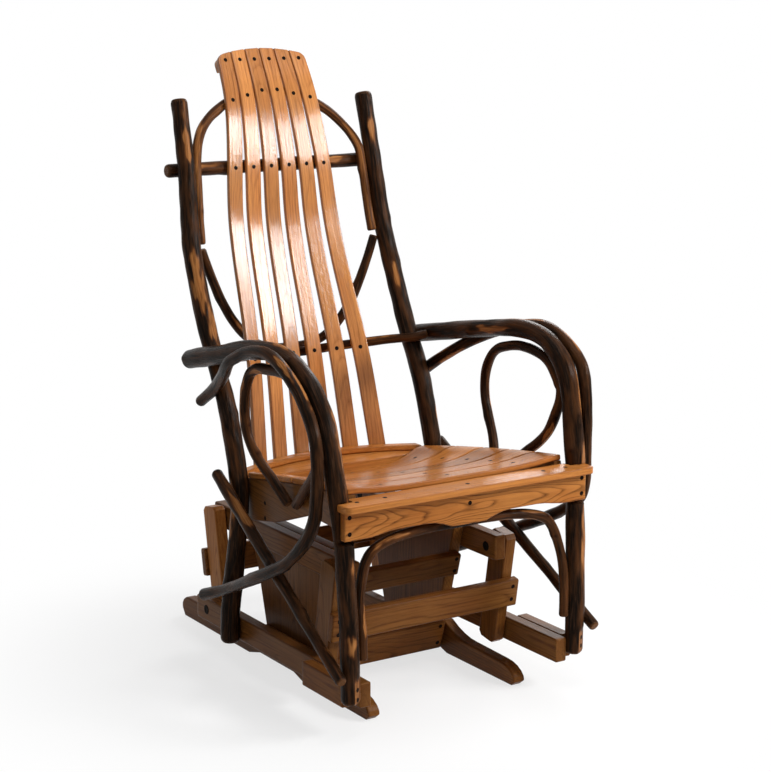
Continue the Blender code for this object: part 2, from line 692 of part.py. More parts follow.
def leg_notch():
    """The room that the front apron and the nosing take out of the front legs."""
    low = SEAT_Z - APRON_END - GAP
    high = NOSING_TOP_Z + GAP
    bpy.ops.mesh.primitive_cube_add(size=1.0)
    cutter = unlinked()
    CUTTERS.objects.link(cutter)
    cutter.name = "leg_notch"
    depth = APRON_THICK + GAP + 2 * ARM_RADIUS
    cutter.data.transform(Matrix.Diagonal((4 * SEAT_HALF_WIDTH, depth, high - low, 1.0)))
    cutter.location = (0.0, APRON_BACK_Y + GAP - depth / 2, (low + high) / 2)
    return cutter


NOTCH = leg_notch()
for arm in ARM_POLES.values():
    add_cut(arm, NOTCH)


def side_brace(label, side, post):
    """A straight stick outside the front leg and the rear post."""
    leg_x = RAIL_OUTER_X + 2 * ARM_RADIUS
    lean = POST_HALF_SPREAD + POST_RADIUS - leg_x

    def at(offset):
        return [Vector((side * (leg_x + lean + offset), back(1.060), down(0.914))),
                Vector((side * (leg_x + offset), back(-0.0335), down(0.177)))]

    offset = seat(at, BRACE_RADIUS, [post, ARM_POLES[side]], 0.0, 4 * BRACE_RADIUS)
    return pole(f"{label}_side_brace", at(offset), BRACE_RADIUS, BRACE_TIP)


def outer_arm(label, side, post, brace):
    """A C-bend outside the arm: from behind the post over the arm, down and back past the leg."""
    def at(side_x, upper_x, lower_x):
        points = [(upper_x, back(1.208), up(0.394)), (upper_x, back(1.087), up(0.530)),
                  (blend(upper_x, side_x, 0.20), back(1.000), up(0.630)),
                  (blend(upper_x, side_x, 0.55), back(0.900), up(0.740))]
        points += [(side_x, back(b), up(u)) for b, u in OUTER_BEND[side]]
        points += [(side_x, back(b), down(d)) for b, d in OUTER_BEND_LOW[side]]
        points += [(blend(lower_x, side_x, 0.45), back(0.720), down(0.435)),
                   (lower_x, back(0.901), down(0.338)), (lower_x, back(1.125), down(0.229))]
        return smooth_path([(side * x, y, z) for x, y, z in points], 2)

    start = abs(ARMS[side][-1].x) + ARM_RADIUS
    clear = start + 5 * OUTER_RADIUS
    upper_x = seat(lambda x: at(clear, x, clear), OUTER_RADIUS, [post], POST_HALF_SPREAD, clear)
    lower_x = seat(lambda x: at(clear, upper_x, x), OUTER_RADIUS, [post], POST_HALF_SPREAD, clear)
    side_x = seat(lambda x: at(x, upper_x, lower_x), OUTER_RADIUS, [ARM_POLES[side], brace], start, clear)
    return pole(f"{label}_outer_arm", at(side_x, upper_x, lower_x), OUTER_RADIUS)


for (label, side), post in zip(SIDES, POST_POLES):
    brace = side_brace(label, side, post)
    outer_arm(label, side, post, brace)


def front_apron():
    """The scalloped board across the front legs: two arches with a drop between them."""
    outline = [(-SEAT_HALF_WIDTH, SEAT_Z), (SEAT_HALF_WIDTH, SEAT_Z)]
    steps = 28
    for step in range(steps + 1):
        share = 1.0 - 2.0 * step / steps
        wave = ease((abs(share) - 0.16) / 0.18) * (1.0 - ease((abs(share) - 0.58) / 0.24))
        centre = APRON_DROP * (1.0 - ease((abs(share) - 0.12) / 0.12))
        outline.append((share * SEAT_HALF_WIDTH, SEAT_Z - APRON_END - centre + APRON_ARCH * wave))
    frame = front_frame(FRONT_Y + APRON_THICK / 2)
    return plank("front_apron", outline, APRON_THICK, frame, OAK, CHAIR)


FRONT_APRON = front_apron()


def front_bow():
    """An arch behind the apron whose feet lie against the inner sides of the front legs."""
    def at(inset, top_y):
        half = []
        for share in (FRONT_BOW_FOOT, 0.39):
            leg = at_height(ARMS[1], down(share))
            half.append((leg.x - inset, leg.y, down(share)))
        foot_x = half[-1][0]
        half += [(foot_x, blend(half[-1][1], top_y, 0.5), down(0.54)),
                 (foot_x - FRONT_BOW_SHOULDER, top_y, down(0.715)),
                 (foot_x - FRONT_BOW_CROWN, top_y, down(0.79)), (0.5 * foot_x, top_y, down(0.825))]
        other_half = [(-x, y, z) for x, y, z in reversed(half)]
        return smooth_path(half + [(0.0, top_y, down(0.835))] + other_half, 2)

    clear = APRON_BACK_Y + 3 * FRONT_BOW_RADIUS
    legs = list(ARM_POLES.values())
    inset = seat(lambda x: at(x, clear), FRONT_BOW_RADIUS, legs, ARM_RADIUS, 3 * ARM_RADIUS)
    top_y = seat(lambda y: at(inset, y), FRONT_BOW_RADIUS, [FRONT_APRON], APRON_BACK_Y, clear)
    return pole("front_bow", at(inset, top_y), FRONT_BOW_RADIUS)


front_bow()


def seat_rim(y):
    """Height of the top of the slats' ends, which falls towards the back in a shallow arch."""
    share = (y - APRON_BACK_Y) / (POST_Y - APRON_BACK_Y)
    return SEAT_Z + RIM_FRONT - RIM_DROP * share + 4.0 * RIM_BULGE * share * (1.0 - share)


def side_apron_x(y):
    """X of the outer face of a side apron, which draws in from the leg to the post."""
    front = at_height(ARMS[1], SEAT_Z - SIDE_APRON_FRONT).x - ARM_RADIUS - GAP
    rear = POST_HALF_SPREAD - POST_RADIUS - 2 * GAP
    return blend(front, rear, (y - APRON_BACK_Y) / (POST_Y - APRON_BACK_Y))


def slat_edges():
    """Front and rear edge of each dished slat, wider towards the back."""
    front = back(0.088)
    weights = [1.0 + SLAT_GROWTH * index * index for index in range(SEAT_SLATS)]
    edges = []
    y = front
    for weight in weights:
        width = (POST_Y - front) * weight / sum(weights)
        edges.append((y, y + width - SLAT_SEAM))
        y += width
    return edges


NOSING_BACK_Y = slat_edges()[0][0] - SLAT_SEAM


def side_apron(label, side):
    """A side board under the slats' ends, let in under the nosing and deeper towards the post."""
    taper = math.atan2(side_apron_x(APRON_BACK_Y) - side_apron_x(POST_Y), POST_Y - APRON_BACK_Y)
    corner = SIDE_APRON_THICK * math.sin(taper) + GAP
    front = APRON_BACK_Y + corner
    lowest = SEAT_Z - SIDE_APRON_REAR
    highest = SEAT_Z - SIDE_APRON_FRONT
    outline = [(front, SEAT_Z), (NOSING_BACK_Y + corner, SEAT_Z)]
    for slat_front, slat_rear in slat_edges():
        fall = (seat_rim(slat_rear) - seat_rim(slat_front)) / (slat_rear - slat_front)
        under = SLAT_THICK * math.hypot(1.0, fall) + GAP
        outline += [(y, seat_rim(y) - under) for y in (slat_front, slat_rear)]
    outline += [(POST_Y, outline[-1][1]), (POST_Y, lowest), (back(0.716), blend(highest, lowest, 0.64)),
                (back(0.414), highest), (front, highest)]
    along = [((y - front) / math.cos(taper), z) for y, z in outline]
    corner_place = Matrix.Translation((side * side_apron_x(front), front, 0.0))
    turn = Matrix.Rotation(side * taper, 4, "Z")
    frame = corner_place @ turn @ side_frame(-side * SIDE_APRON_THICK / 2)
    return plank(f"{label}_side_apron", along, SIDE_APRON_THICK, frame, FRAME_OAK, CHAIR)


def arm_loop(label, side, apron):
    """A teardrop loop: its ends meet on the side apron and its top lies under the arm's bend."""
    arm = ARMS[side]
    arm_x = abs(arm[-1].x)
    reach = ARM_RADIUS + LOOP_RADIUS + 2 * GAP

    def under_arm():
        spots = []
        for before, here, after in zip(arm, arm[1:], arm[2:]):
            if back(0.52) > here.y and here.z > up(0.52):
                run = (after - before).normalized()
                spots.append((arm_x, here.y + reach * run.z, here.z - reach * run.y))
        return spots[::-1]

    def at(tip_x, drop):
        shares = (0.45, 0.75, 0.95, 1.0, 1.0, 1.0)
        points = [(tip_x, back(0.545), down(0.875))]
        points += [(blend(tip_x, arm_x, share), back(b), up(u) - drop)
                   for share, (b, u) in zip(shares, LOOP_BEND[side])]
        points += [(x, y, z - drop) for x, y, z in under_arm()]
        points += [(blend(tip_x, arm_x, 0.80), back(0.235), up(0.240)),
                   (blend(tip_x, arm_x, 0.45), back(0.350), up(0.040)), (tip_x, back(0.490), down(0.885))]
        return smooth_path([(side * x, y, z) for x, y, z in points], 2)

    drop = seat(lambda d: at(arm_x, d), LOOP_RADIUS, [ARM_POLES[side]], -LOOP_RADIUS, 2 * LOOP_RADIUS)
    tip_x = seat(lambda x: at(x, drop), LOOP_RADIUS, [apron], side_apron_x(POST_Y), arm_x)
    return pole(f"{label}_arm_loop", at(tip_x, drop), LOOP_RADIUS)


for label, side in SIDES:
    apron = side_apron(label, side)
    arm_loop(label, side, apron)


def nosing():
    """The front slat: a lip over the apron, drawn in behind it to pass between the legs."""
    lip = SEAT_HALF_WIDTH + NOSING_OVERHANG
    inner = min(abs(at_height(arm, NOSING_Z).x) for arm in ARMS.values()) - ARM_RADIUS - LEG_CLEARANCE
    front = FRONT_Y - NOSING_LIP
    corner = arc((lip - NOSING_CORNER, front + NOSING_CORNER), (NOSING_CORNER, NOSING_CORNER), -90, 0, 3)
    half = corner + [(lip, APRON_BACK_Y), (inner, APRON_BACK_Y), (inner, NOSING_BACK_Y)]
    outline = half + [(-x, y) for x, y in reversed(half)]
    frame = Matrix.Translation((0.0, 0.0, NOSING_Z + NOSING_THICK / 2))
    return plank("seat_nosing", outline, NOSING_THICK, frame, OAK, CHAIR)


def seat_slat(index, front, rear):
    """A slat whose ends lie flat on the side aprons and whose middle is bent down."""
    inner = 1.0 - 2.0 / SLAT_COLUMNS

    def place(u, v):
        y = blend(front, rear, v)
        end = side_apron_x(y) - GAP
        flat = end - SIDE_APRON_THICK - DISH_MARGIN
        share = abs(2.0 * u - 1.0)
        if share > inner:
            x = blend(flat, end, (share - inner) / (1.0 - inner))
        else:
            x = flat * share / inner
        depth = blend(DISH_FRONT, DISH_REAR, (y - APRON_BACK_Y) / (POST_Y - APRON_BACK_Y))
        bowl = max(0.0, 1.0 - (x / flat) ** 4)
        return Vector((math.copysign(x, u - 0.5), y, seat_rim(y) - depth * bowl))

    return strip(f"seat_slat_{index}", 1, SLAT_COLUMNS, place, SLAT_THICK, OAK, CHAIR)


nosing()
for index, (front, rear) in enumerate(slat_edges(), start=1):
    seat_slat(index, front, rear)


def upper_bar():
    """The straight bar behind both posts that the back slats are screwed to."""
    post = at_height(POSTS[1], UPPER_BAR_Z)

    def at(y):
        return [Vector((x, y, UPPER_BAR_Z)) for x in (-UPPER_BAR_HALF, 0.0, UPPER_BAR_HALF)]

    y = seat(at, UPPER_BAR_RADIUS, POST_POLES, post.y, post.y + 4 * POST_RADIUS)
    pole("upper_crossbar", at(y), UPPER_BAR_RADIUS)
    return y


UPPER_BAR_Y = upper_bar()
CREST_TOP_Z = BACK_TOP_Z - CREST_DROP
CREST_Z = CREST_TOP_Z - CREST_HEIGHT
BACK_HEIGHTS = ([blend(BACK_FOOT_Z, UPPER_BAR_Z, step / 6) for step in range(6)]
                + [blend(UPPER_BAR_Z, CREST_Z, step / 4) for step in range(4)]
                + [CREST_Z, CREST_TOP_Z, BACK_TOP_Z])


def back_line(bar_y):
    """The middle line of the back's front face, which passes bar_y at the height of the bar."""
    controls = [(0.0, blend(BACK_FOOT_Y, bar_y, lean), blend(BACK_FOOT_Z, UPPER_BAR_Z, rise))
                for rise, lean in BACK_BEND]
    controls += [(0.0, bar_y + lean * BACK_TOP_LEAN, blend(UPPER_BAR_Z, BACK_TOP_Z, rise))
                 for rise, lean in CREST_BEND]
    curve = smooth_path(controls, 8)
    return [at_height(curve, z) for z in BACK_HEIGHTS]


def shifted(line, z, lift):
    """Y of a point that is lift behind the back's middle line at a height."""
    for below, above in zip(line, line[1:]):
        if z <= above.z:
            break
    slope = (above.y - below.y) / (above.z - below.z)
    return at_height(line, z).y + lift * math.hypot(1.0, slope)


def seated_back_line():
    """The back's middle line, with the slats a gap in front of the upper bar."""
    room = BACK_SLAT_THICK + UPPER_BAR_RADIUS + 2 * GAP
    bar_y = UPPER_BAR_Y - room
    for _ in range(4):
        line = back_line(bar_y)
        just_over = UPPER_BAR_Z + UPPER_BAR_RADIUS
        depths = [shifted(line, z, room) - at_height(line, z).y for z in (UPPER_BAR_Z, just_over)]
        bar_y = UPPER_BAR_Y - max(depths)
    return back_line(bar_y)


BACK_LINE = seated_back_line()


def back_point(x, z, lift=0.0):
    """A point of the back at x and a height, lift behind its front face."""
    share = (z - BACK_FOOT_Z) / (BACK_TOP_Z - BACK_FOOT_Z)
    y = shifted(BACK_LINE, z, lift) - read_curve(BACK_HOLLOW, share) * x * x
    return Vector((x, y, z))


def slat_x(index, edge, z):
    """X of a back slat's middle (0) or of an edge (-1 or 1) at a height, closer together at the top."""
    share = (z - BACK_FOOT_Z) / (BACK_TOP_Z - BACK_FOOT_Z)
    step = read_curve(BACK_STEPS, share)
    return (index - (BACK_SLATS - 1) / 2) * step + edge * BACK_SLAT_WIDTH / 2


def back_slat(index):
    """A tall bent slat, screwed to the seat's rear edge, both bars and the crest rail."""
    rows = len(BACK_HEIGHTS) - 1

    def place(u, v):
        z = BACK_HEIGHTS[round(v * rows)]
        x = slat_x(index, 2.0 * u - 1.0, z)
        if z == BACK_TOP_Z:
            z -= BACK_CROWN * x * x
        return back_point(x, z)

    return strip(f"back_slat_{index + 1}", rows, 1, place, BACK_SLAT_THICK, OAK, CHAIR)


def crest_rail():
    """The curved rail behind the tops of the slats."""
    def place(u, v):
        z = blend(CREST_Z, CREST_TOP_Z, v)
        return back_point((2.0 * u - 1.0) * CREST_HALF, z, BACK_SLAT_THICK + 2 * GAP)

    return strip("crest_rail", 1, 10, place, CREST_THICK, FRAME_OAK, CHAIR)


BACK_BOARDS = [back_slat(index) for index in range(BACK_SLATS)]
crest_rail()


def rear_edge(x, z):
    """Y of the edge that the feet of the back slats are screwed to."""
    return back_point(x, z).y - SLAT_FOOT_GAP


def rear_seat_board():
    """The board behind the slats, straight in front and hollow behind, and the rail along its rear."""
    half = POST_HALF_SPREAD - POST_RADIUS - 2 * GAP
    front = POST_Y + GAP
    xs = [blend(half, -half, step / 14) for step in range(15)]
    outline = [(-half, front), (half, front)] + [(x, rear_edge(x, BACK_FOOT_Z)) for x in xs]
    frame = Matrix.Translation((0.0, 0.0, REAR_BOARD_TOP_Z - REAR_BOARD_THICK / 2))
    plank("rear_seat_board", outline, REAR_BOARD_THICK, frame, OAK, CHAIR)
    low = REAR_BOARD_TOP_Z + GAP
    behind = [(x, rear_edge(x, low)) for x in xs]
    before = [(x, y - REAR_RAIL_DEPTH) for x, y in reversed(behind)]
    frame = Matrix.Translation((0.0, 0.0, low + REAR_RAIL_HEIGHT / 2))
    plank("rear_seat_rail", before + behind, REAR_RAIL_HEIGHT, frame, OAK, CHAIR)


rear_seat_board()


def lower_bar():
    """A bar in front of both posts that bows back behind the slats."""
    post = at_height(POSTS[1], LOWER_BAR_END_Z)
    half = min(abs(arm[-1].x) for arm in ARMS.values()) - ARM_RADIUS - LEG_CLEARANCE

    def at(end_y, middle_y):
        points = []
        for step in range(21):
            share = step / 10 - 1.0
            bow = min(1.0, abs(share) * half / post.x) ** LOWER_BAR_POWER
            z = LOWER_BAR_END_Z - LOWER_BAR_DIP * (1.0 - share * share)
            points.append(Vector((share * half, blend(middle_y, end_y, bow), z)))
        return points

    end_y = post.y - POST_RADIUS - LOWER_BAR_RADIUS
    before = post.y - 4 * POST_RADIUS
    behind = post.y + 6 * POST_RADIUS
    for _ in range(3):
        middle_y = seat(lambda y: at(end_y, y), LOWER_BAR_RADIUS, BACK_BOARDS, post.y, behind)
        end_y = seat(lambda y: at(y, middle_y), LOWER_BAR_RADIUS, POST_POLES, post.y, before)
    return pole("lower_crossbar", at(end_y, middle_y), LOWER_BAR_RADIUS), middle_y


LOWER_BAR, LOWER_BAR_Y = lower_bar()


def beside_post(inset, z):
    """Where a bow lies against the inner side of the right post at a height."""
    post = at_height(POSTS[1], z)
    return Vector((post.x - inset, post.y + BOW_BEHIND, z))


def top_bow():
    """An arch from post to post that passes behind the slats."""
    def at(inset, offset):
        foot = [beside_post(inset, blend(BOW_FOOT_Z, UPPER_BAR_Z, step / 3)) for step in range(3)]
        start = beside_post(inset, UPPER_BAR_Z)
        points = []
        for x, z in arc((0.0, UPPER_BAR_Z), (start.x, BOW_RISE), 0, 180, 16):
            behind = back_point(x, z, BACK_SLAT_THICK + BOW_RADIUS).y + offset
            share = ease((z - UPPER_BAR_Z) / (BOW_TURN * BOW_RISE))
            points.append(Vector((x, blend(start.y, behind, share), z)))
        return foot + points + [Vector((-p.x, p.y, p.z)) for p in reversed(foot)]

    inset = seat(lambda x: at(x, 0.0), BOW_RADIUS, POST_POLES, POST_RADIUS, 3 * POST_RADIUS)
    offset = seat(lambda y: at(inset, y), BOW_RADIUS, BACK_BOARDS, -BOW_RADIUS, 3 * BOW_RADIUS)
    return pole("top_bow", at(inset, offset), BOW_RADIUS)


def lower_bow():
    """A hanging arch between the posts that passes behind the lower bar."""
    def at(inset, middle_y):
        end = beside_post(inset, LOW_BOW_TOP_Z)
        points = []
        for step in range(19):
            share = math.sin(math.radians(blend(-90, 90, step / 18)))
            rise = abs(share) ** LOW_BOW_POWER
            z = blend(LOW_BOW_Z, LOW_BOW_TOP_Z, rise)
            points.append(Vector((share * end.x, blend(middle_y, end.y, rise), z)))
        return points

    clear = LOWER_BAR_Y + 4 * POST_RADIUS
    inset = seat(lambda x: at(x, clear), BOW_RADIUS, POST_POLES, POST_RADIUS, 3 * POST_RADIUS)
    middle_y = seat(lambda y: at(inset, y), BOW_RADIUS, [LOWER_BAR] + BACK_BOARDS, LOWER_BAR_Y, clear)
    return pole("lower_bow", at(inset, middle_y), BOW_RADIUS)


top_bow()
lower_bow()
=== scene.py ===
"""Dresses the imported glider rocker: bark poles, oak boards and bent slats, bolts and screws."""

import math

import bpy
import numpy as np
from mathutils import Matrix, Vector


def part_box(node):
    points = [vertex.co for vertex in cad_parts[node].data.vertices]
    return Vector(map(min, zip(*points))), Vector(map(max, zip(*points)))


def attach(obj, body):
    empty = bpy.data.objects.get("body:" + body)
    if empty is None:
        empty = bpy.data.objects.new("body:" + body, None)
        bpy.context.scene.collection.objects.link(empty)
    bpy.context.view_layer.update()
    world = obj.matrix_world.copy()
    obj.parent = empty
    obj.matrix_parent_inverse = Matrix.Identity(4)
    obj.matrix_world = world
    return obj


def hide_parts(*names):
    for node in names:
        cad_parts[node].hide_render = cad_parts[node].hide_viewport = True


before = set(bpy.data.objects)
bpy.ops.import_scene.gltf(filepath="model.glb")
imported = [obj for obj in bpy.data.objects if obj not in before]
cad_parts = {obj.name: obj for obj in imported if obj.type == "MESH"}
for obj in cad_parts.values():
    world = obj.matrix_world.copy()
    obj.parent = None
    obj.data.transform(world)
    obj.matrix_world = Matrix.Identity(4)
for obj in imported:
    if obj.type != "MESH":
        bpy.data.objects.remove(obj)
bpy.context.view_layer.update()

# The room is a pale floor under soft studio light, seen from where the photograph was taken.
# A wide, low key stands front right, as the glare on the back slats shows, with one lamp overhead for the seat,
# a weaker fill on the left and a rim lamp behind that lines the poles.
CAMERA_PLACE = (-2.0865, -3.3415, 1.3970)
CAMERA_DIP = 0.208
CAMERA_TURN = -0.574
CAMERA_LENS = 93.3
scene = bpy.context.scene
scene.view_settings.view_transform = "Standard"
camera = bpy.data.objects.new("camera", bpy.data.cameras.new("camera"))
camera.location = CAMERA_PLACE
camera.rotation_euler = (math.pi / 2 - CAMERA_DIP, 0.0, CAMERA_TURN)
camera.data.lens = CAMERA_LENS
scene.collection.objects.link(camera)
scene.camera = camera


def softbox(name, place, aim, breadth, height, power):
    """A rectangular lamp at place that points at aim."""
    lamp = bpy.data.lights.new(name, "AREA")
    lamp.shape = "RECTANGLE"
    lamp.size = breadth
    lamp.size_y = height
    lamp.energy = power
    made = bpy.data.objects.new(name, lamp)
    scene.collection.objects.link(made)
    made.location = place
    way = np.subtract(aim, place)
    flat = math.hypot(way[0], way[1])
    made.rotation_euler = (math.atan2(flat, -way[2]), 0.0, math.atan2(way[1], way[0]) - math.pi / 2)


softbox("key", (2.14, -2.17, 1.99), (0.0, 0.25, 0.75), 1.3, 0.7, 115.0)
softbox("top", (0.1, -0.5, 2.9), (0.0, 0.0, 0.5), 1.4, 1.4, 26.0)
softbox("fill", (-2.4, -2.6, 1.9), (0.0, 0.0, 0.5), 1.6, 1.6, 8.0)
softbox("rim", (2.2, 1.6, 1.9), (0.0, 0.1, 0.7), 1.2, 1.2, 40.0)


def background_rays(tree):
    """A socket that is 1 for rays that show the background: from the camera, off gloss or through glass."""
    path_kind = tree.nodes.new("ShaderNodeLightPath")
    seen = path_kind.outputs["Is Camera Ray"]
    for ray in ("Is Glossy Ray", "Is Transmission Ray"):
        either = tree.nodes.new("ShaderNodeMath")
        either.operation = "MAXIMUM"
        tree.links.new(seen, either.inputs[0])
        tree.links.new(path_kind.outputs[ray], either.inputs[1])
        seen = either.outputs[0]
    return seen


STUDIO_LIGHT = 0.20
world = bpy.data.worlds.new("studio")
scene.world = world
world.use_nodes = True
tree = world.node_tree
tree.nodes.clear()
strength = tree.nodes.new("ShaderNodeMapRange")
strength.inputs["To Min"].default_value = STUDIO_LIGHT
strength.inputs["To Max"].default_value = 1.0
tree.links.new(background_rays(tree), strength.inputs["Value"])
sky = tree.nodes.new("ShaderNodeBackground")
sky.inputs["Color"].default_value = (1.0, 1.0, 1.0, 1.0)
tree.links.new(strength.outputs["Result"], sky.inputs["Strength"])
out = tree.nodes.new("ShaderNodeOutputWorld")
tree.links.new(sky.outputs[0], out.inputs["Surface"])

FLOOR_REACH = 60.0
SHADOW_NEAR = 0.30
SHADOW_FAR = 0.95
SHADOW_PALE = 0.70
floor_mesh = bpy.data.meshes.new("floor")
floor_mesh.from_pydata(
    [(-FLOOR_REACH, -FLOOR_REACH, 0.0), (FLOOR_REACH, -FLOOR_REACH, 0.0),
     (FLOOR_REACH, FLOOR_REACH, 0.0), (-FLOOR_REACH, FLOOR_REACH, 0.0)], [], [(0, 1, 2, 3)])
floor = bpy.data.objects.new("floor", floor_mesh)
scene.collection.objects.link(floor)
paint = bpy.data.materials.new("pale_floor")
paint.use_nodes = True
tree = paint.node_tree
tree.nodes.clear()
matt = tree.nodes.new("ShaderNodeBsdfDiffuse")
matt.inputs["Color"].default_value = (0.9, 0.9, 0.9, 1.0)
glow = tree.nodes.new("ShaderNodeEmission")
glow.inputs["Color"].default_value = (1.0, 1.0, 1.0, 1.0)
spot = tree.nodes.new("ShaderNodeTexCoord")
reach = tree.nodes.new("ShaderNodeVectorMath")
reach.operation = "LENGTH"
tree.links.new(spot.outputs["Object"], reach.inputs[0])
fade = tree.nodes.new("ShaderNodeMapRange")
fade.interpolation_type = "SMOOTHSTEP"
fade.inputs["From Min"].default_value = SHADOW_NEAR
fade.inputs["From Max"].default_value = SHADOW_FAR
fade.inputs["To Min"].default_value = SHADOW_PALE
tree.links.new(reach.outputs["Value"], fade.inputs["Value"])
white = tree.nodes.new("ShaderNodeMath")
white.operation = "MULTIPLY"
tree.links.new(background_rays(tree), white.inputs[0])
tree.links.new(fade.outputs["Result"], white.inputs[1])
both = tree.nodes.new("ShaderNodeMixShader")
tree.links.new(white.outputs[0], both.inputs["Fac"])
tree.links.new(matt.outputs[0], both.inputs[1])
tree.links.new(glow.outputs[0], both.inputs[2])
out = tree.nodes.new("ShaderNodeOutputMaterial")
tree.links.new(both.outputs[0], out.inputs["Surface"])
floor.data.materials.append(paint)


# Floor runners: two oak planks on edge with a low rounded toe, a relieved underside and a rounded heel.
# All boards of the base are sawn oak with eased edges under a satin varnish; their colour is painted much
# darker than the seat's oak as painted shade for the shade under the seat.
def blank_material(name):
    """A new material with no nodes, and short ways to add a node to it and to join two sockets."""
    material = bpy.data.materials.new(name)
    material.use_nodes = True
    tree = material.node_tree
    tree.nodes.clear()

    def add(kind, **settings):
        node = tree.nodes.new("ShaderNode" + kind)
        for key, value in settings.items():
            setattr(node, key, value)
        return node

    def join(source, target):
        tree.links.new(source, target)

    return material, add, join


def noise(add, join, vector, scale, detail):
    """Noise of a vector that is first stretched on each axis."""
    stretch = add("VectorMath", operation="MULTIPLY")
    stretch.inputs[1].default_value = scale
    join(vector, stretch.inputs[0])
    made = add("TexNoise")
    made.inputs["Scale"].default_value = 1.0
    made.inputs["Detail"].default_value = detail
    join(stretch.outputs[0], made.inputs["Vector"])
    return made.outputs["Fac"]


def ramp(add, stops):
    """A colour ramp node with the given places and grey levels or colours."""
    node = add("ValToRGB")
    points = node.color_ramp.elements
    while len(points) < len(stops):
        points.new(0.5)
    for point, (place, colour) in zip(points, stops):
        point.position = place
        point.color = (*colour, 1.0) if isinstance(colour, tuple) else (colour, colour, colour, 1.0)
    return node


def oak(name, light, dark, ring_gap, figure, gloss, shine):
    """Varnished oak. Rings lie about a heart beside the board and lean along it, so flat faces show flames and
    edges show lines; noise stretched along the grain bends them, and fine dark ticks are the open pores.
    Figure is how strongly the rings show against the fine streaks, gloss is the roughness of the varnish and
    shine its strength."""
    material, add, join = blank_material(name)
    grain = add("Attribute", attribute_name="grain")
    edge = add("Attribute", attribute_name="edge")
    tone = add("Attribute", attribute_name="tone")
    # slow bending of the rings along the board
    bend = noise(add, join, grain.outputs["Vector"], (9.0, 9.0, 2.2), 3.0)
    # distance from the heart, with a lean along the board
    flat = add("VectorMath", operation="MULTIPLY")
    flat.inputs[1].default_value = (1.0, 1.0, 0.0)
    join(grain.outputs["Vector"], flat.inputs[0])
    away = add("VectorMath", operation="LENGTH")
    join(flat.outputs[0], away.inputs[0])
    parts = add("SeparateXYZ")
    join(grain.outputs["Vector"], parts.inputs[0])
    lean = add("Math", operation="MULTIPLY_ADD")
    lean.inputs[1].default_value = 0.022
    join(parts.outputs["Z"], lean.inputs[0])
    join(away.outputs["Value"], lean.inputs[2])
    bent = add("Math", operation="MULTIPLY_ADD")
    bent.inputs[1].default_value = 0.024
    join(bend, bent.inputs[0])
    join(lean.outputs[0], bent.inputs[2])
    count = add("Math", operation="DIVIDE")
    count.inputs[1].default_value = ring_gap
    join(bent.outputs[0], count.inputs[0])
    share = add("Math", operation="FRACT")
    join(count.outputs[0], share.inputs[0])
    ring = ramp(add, [(0.0, 0.0), (0.10, 0.25), (0.26, 0.80), (0.86, 1.0), (1.0, 0.35)])
    join(share.outputs[0], ring.inputs["Fac"])
    # pores: ticks much longer than wide
    pores = noise(add, join, grain.outputs["Vector"], (1100.0, 1100.0, 45.0), 2.0)
    ticks = ramp(add, [(0.36, 0.0), (0.52, 1.0)])
    join(pores, ticks.inputs["Fac"])
    # streaks a few millimetres wide
    streak = noise(add, join, grain.outputs["Vector"], (260.0, 260.0, 4.5), 4.0)
    ringed = add("Math", operation="MULTIPLY_ADD")
    ringed.inputs[1].default_value = figure
    join(ring.outputs["Color"], ringed.inputs[0])
    join(streak, ringed.inputs[2])
    ticked = add("Math", operation="MULTIPLY_ADD")
    ticked.inputs[1].default_value = 0.15
    join(ticks.outputs["Color"], ticked.inputs[0])
    join(ringed.outputs[0], ticked.inputs[2])
    pale = add("MapRange")
    pale.inputs["From Min"].default_value = 0.26 + 0.2 * figure
    pale.inputs["From Max"].default_value = 0.77 + figure
    join(ticked.outputs[0], pale.inputs["Value"])
    mid = tuple(0.5 * a + 0.5 * b for a, b in zip(light, dark))
    colour = ramp(add, [(0.05, dark), (0.45, mid), (0.90, light)])
    join(pale.outputs["Result"], colour.inputs["Fac"])
    # broad patches of a warmer tone
    cloud = noise(add, join, grain.outputs["Vector"], (14.0, 14.0, 5.0), 2.0)
    warm = add("Mix", data_type="RGBA", blend_type="MULTIPLY")
    warm.inputs["B"].default_value = (0.80, 0.66, 0.52, 1.0)
    cloudy = ramp(add, [(0.40, 0.0), (0.70, 0.8)])
    join(cloud, cloudy.inputs["Fac"])
    join(cloudy.outputs["Color"], warm.inputs["Factor"])
    join(colour.outputs["Color"], warm.inputs["A"])
    # each board's own tone, and darker eased edges
    toned = add("HueSaturation")
    join(tone.outputs["Fac"], toned.inputs["Value"])
    join(warm.outputs["Result"], toned.inputs["Color"])
    worn = add("Mix", data_type="RGBA", blend_type="MULTIPLY")
    worn.inputs["B"].default_value = (0.50, 0.40, 0.32, 1.0)
    frayed = add("Math", operation="MULTIPLY")
    join(edge.outputs["Fac"], frayed.inputs[0])
    join(streak, frayed.inputs[1])
    join(frayed.outputs[0], worn.inputs["Factor"])
    join(toned.outputs["Color"], worn.inputs["A"])
    # varnish: open pores are rougher, and the surface sinks a little there
    rough = add("MapRange")
    rough.inputs["To Min"].default_value = gloss + 0.08
    rough.inputs["To Max"].default_value = gloss
    join(pale.outputs["Result"], rough.inputs["Value"])
    bump = add("Bump")
    bump.inputs["Strength"].default_value = 0.35
    bump.inputs["Distance"].default_value = 0.0005
    join(pale.outputs["Result"], bump.inputs["Height"])
    skin_of = add("BsdfPrincipled")
    skin_of.inputs["Specular IOR Level"].default_value = shine
    join(worn.outputs["Result"], skin_of.inputs["Base Color"])
    join(rough.outputs["Result"], skin_of.inputs["Roughness"])
    join(bump.outputs["Normal"], skin_of.inputs["Normal"])
    out = add("OutputMaterial")
    join(skin_of.outputs[0], out.inputs["Surface"])
    return material


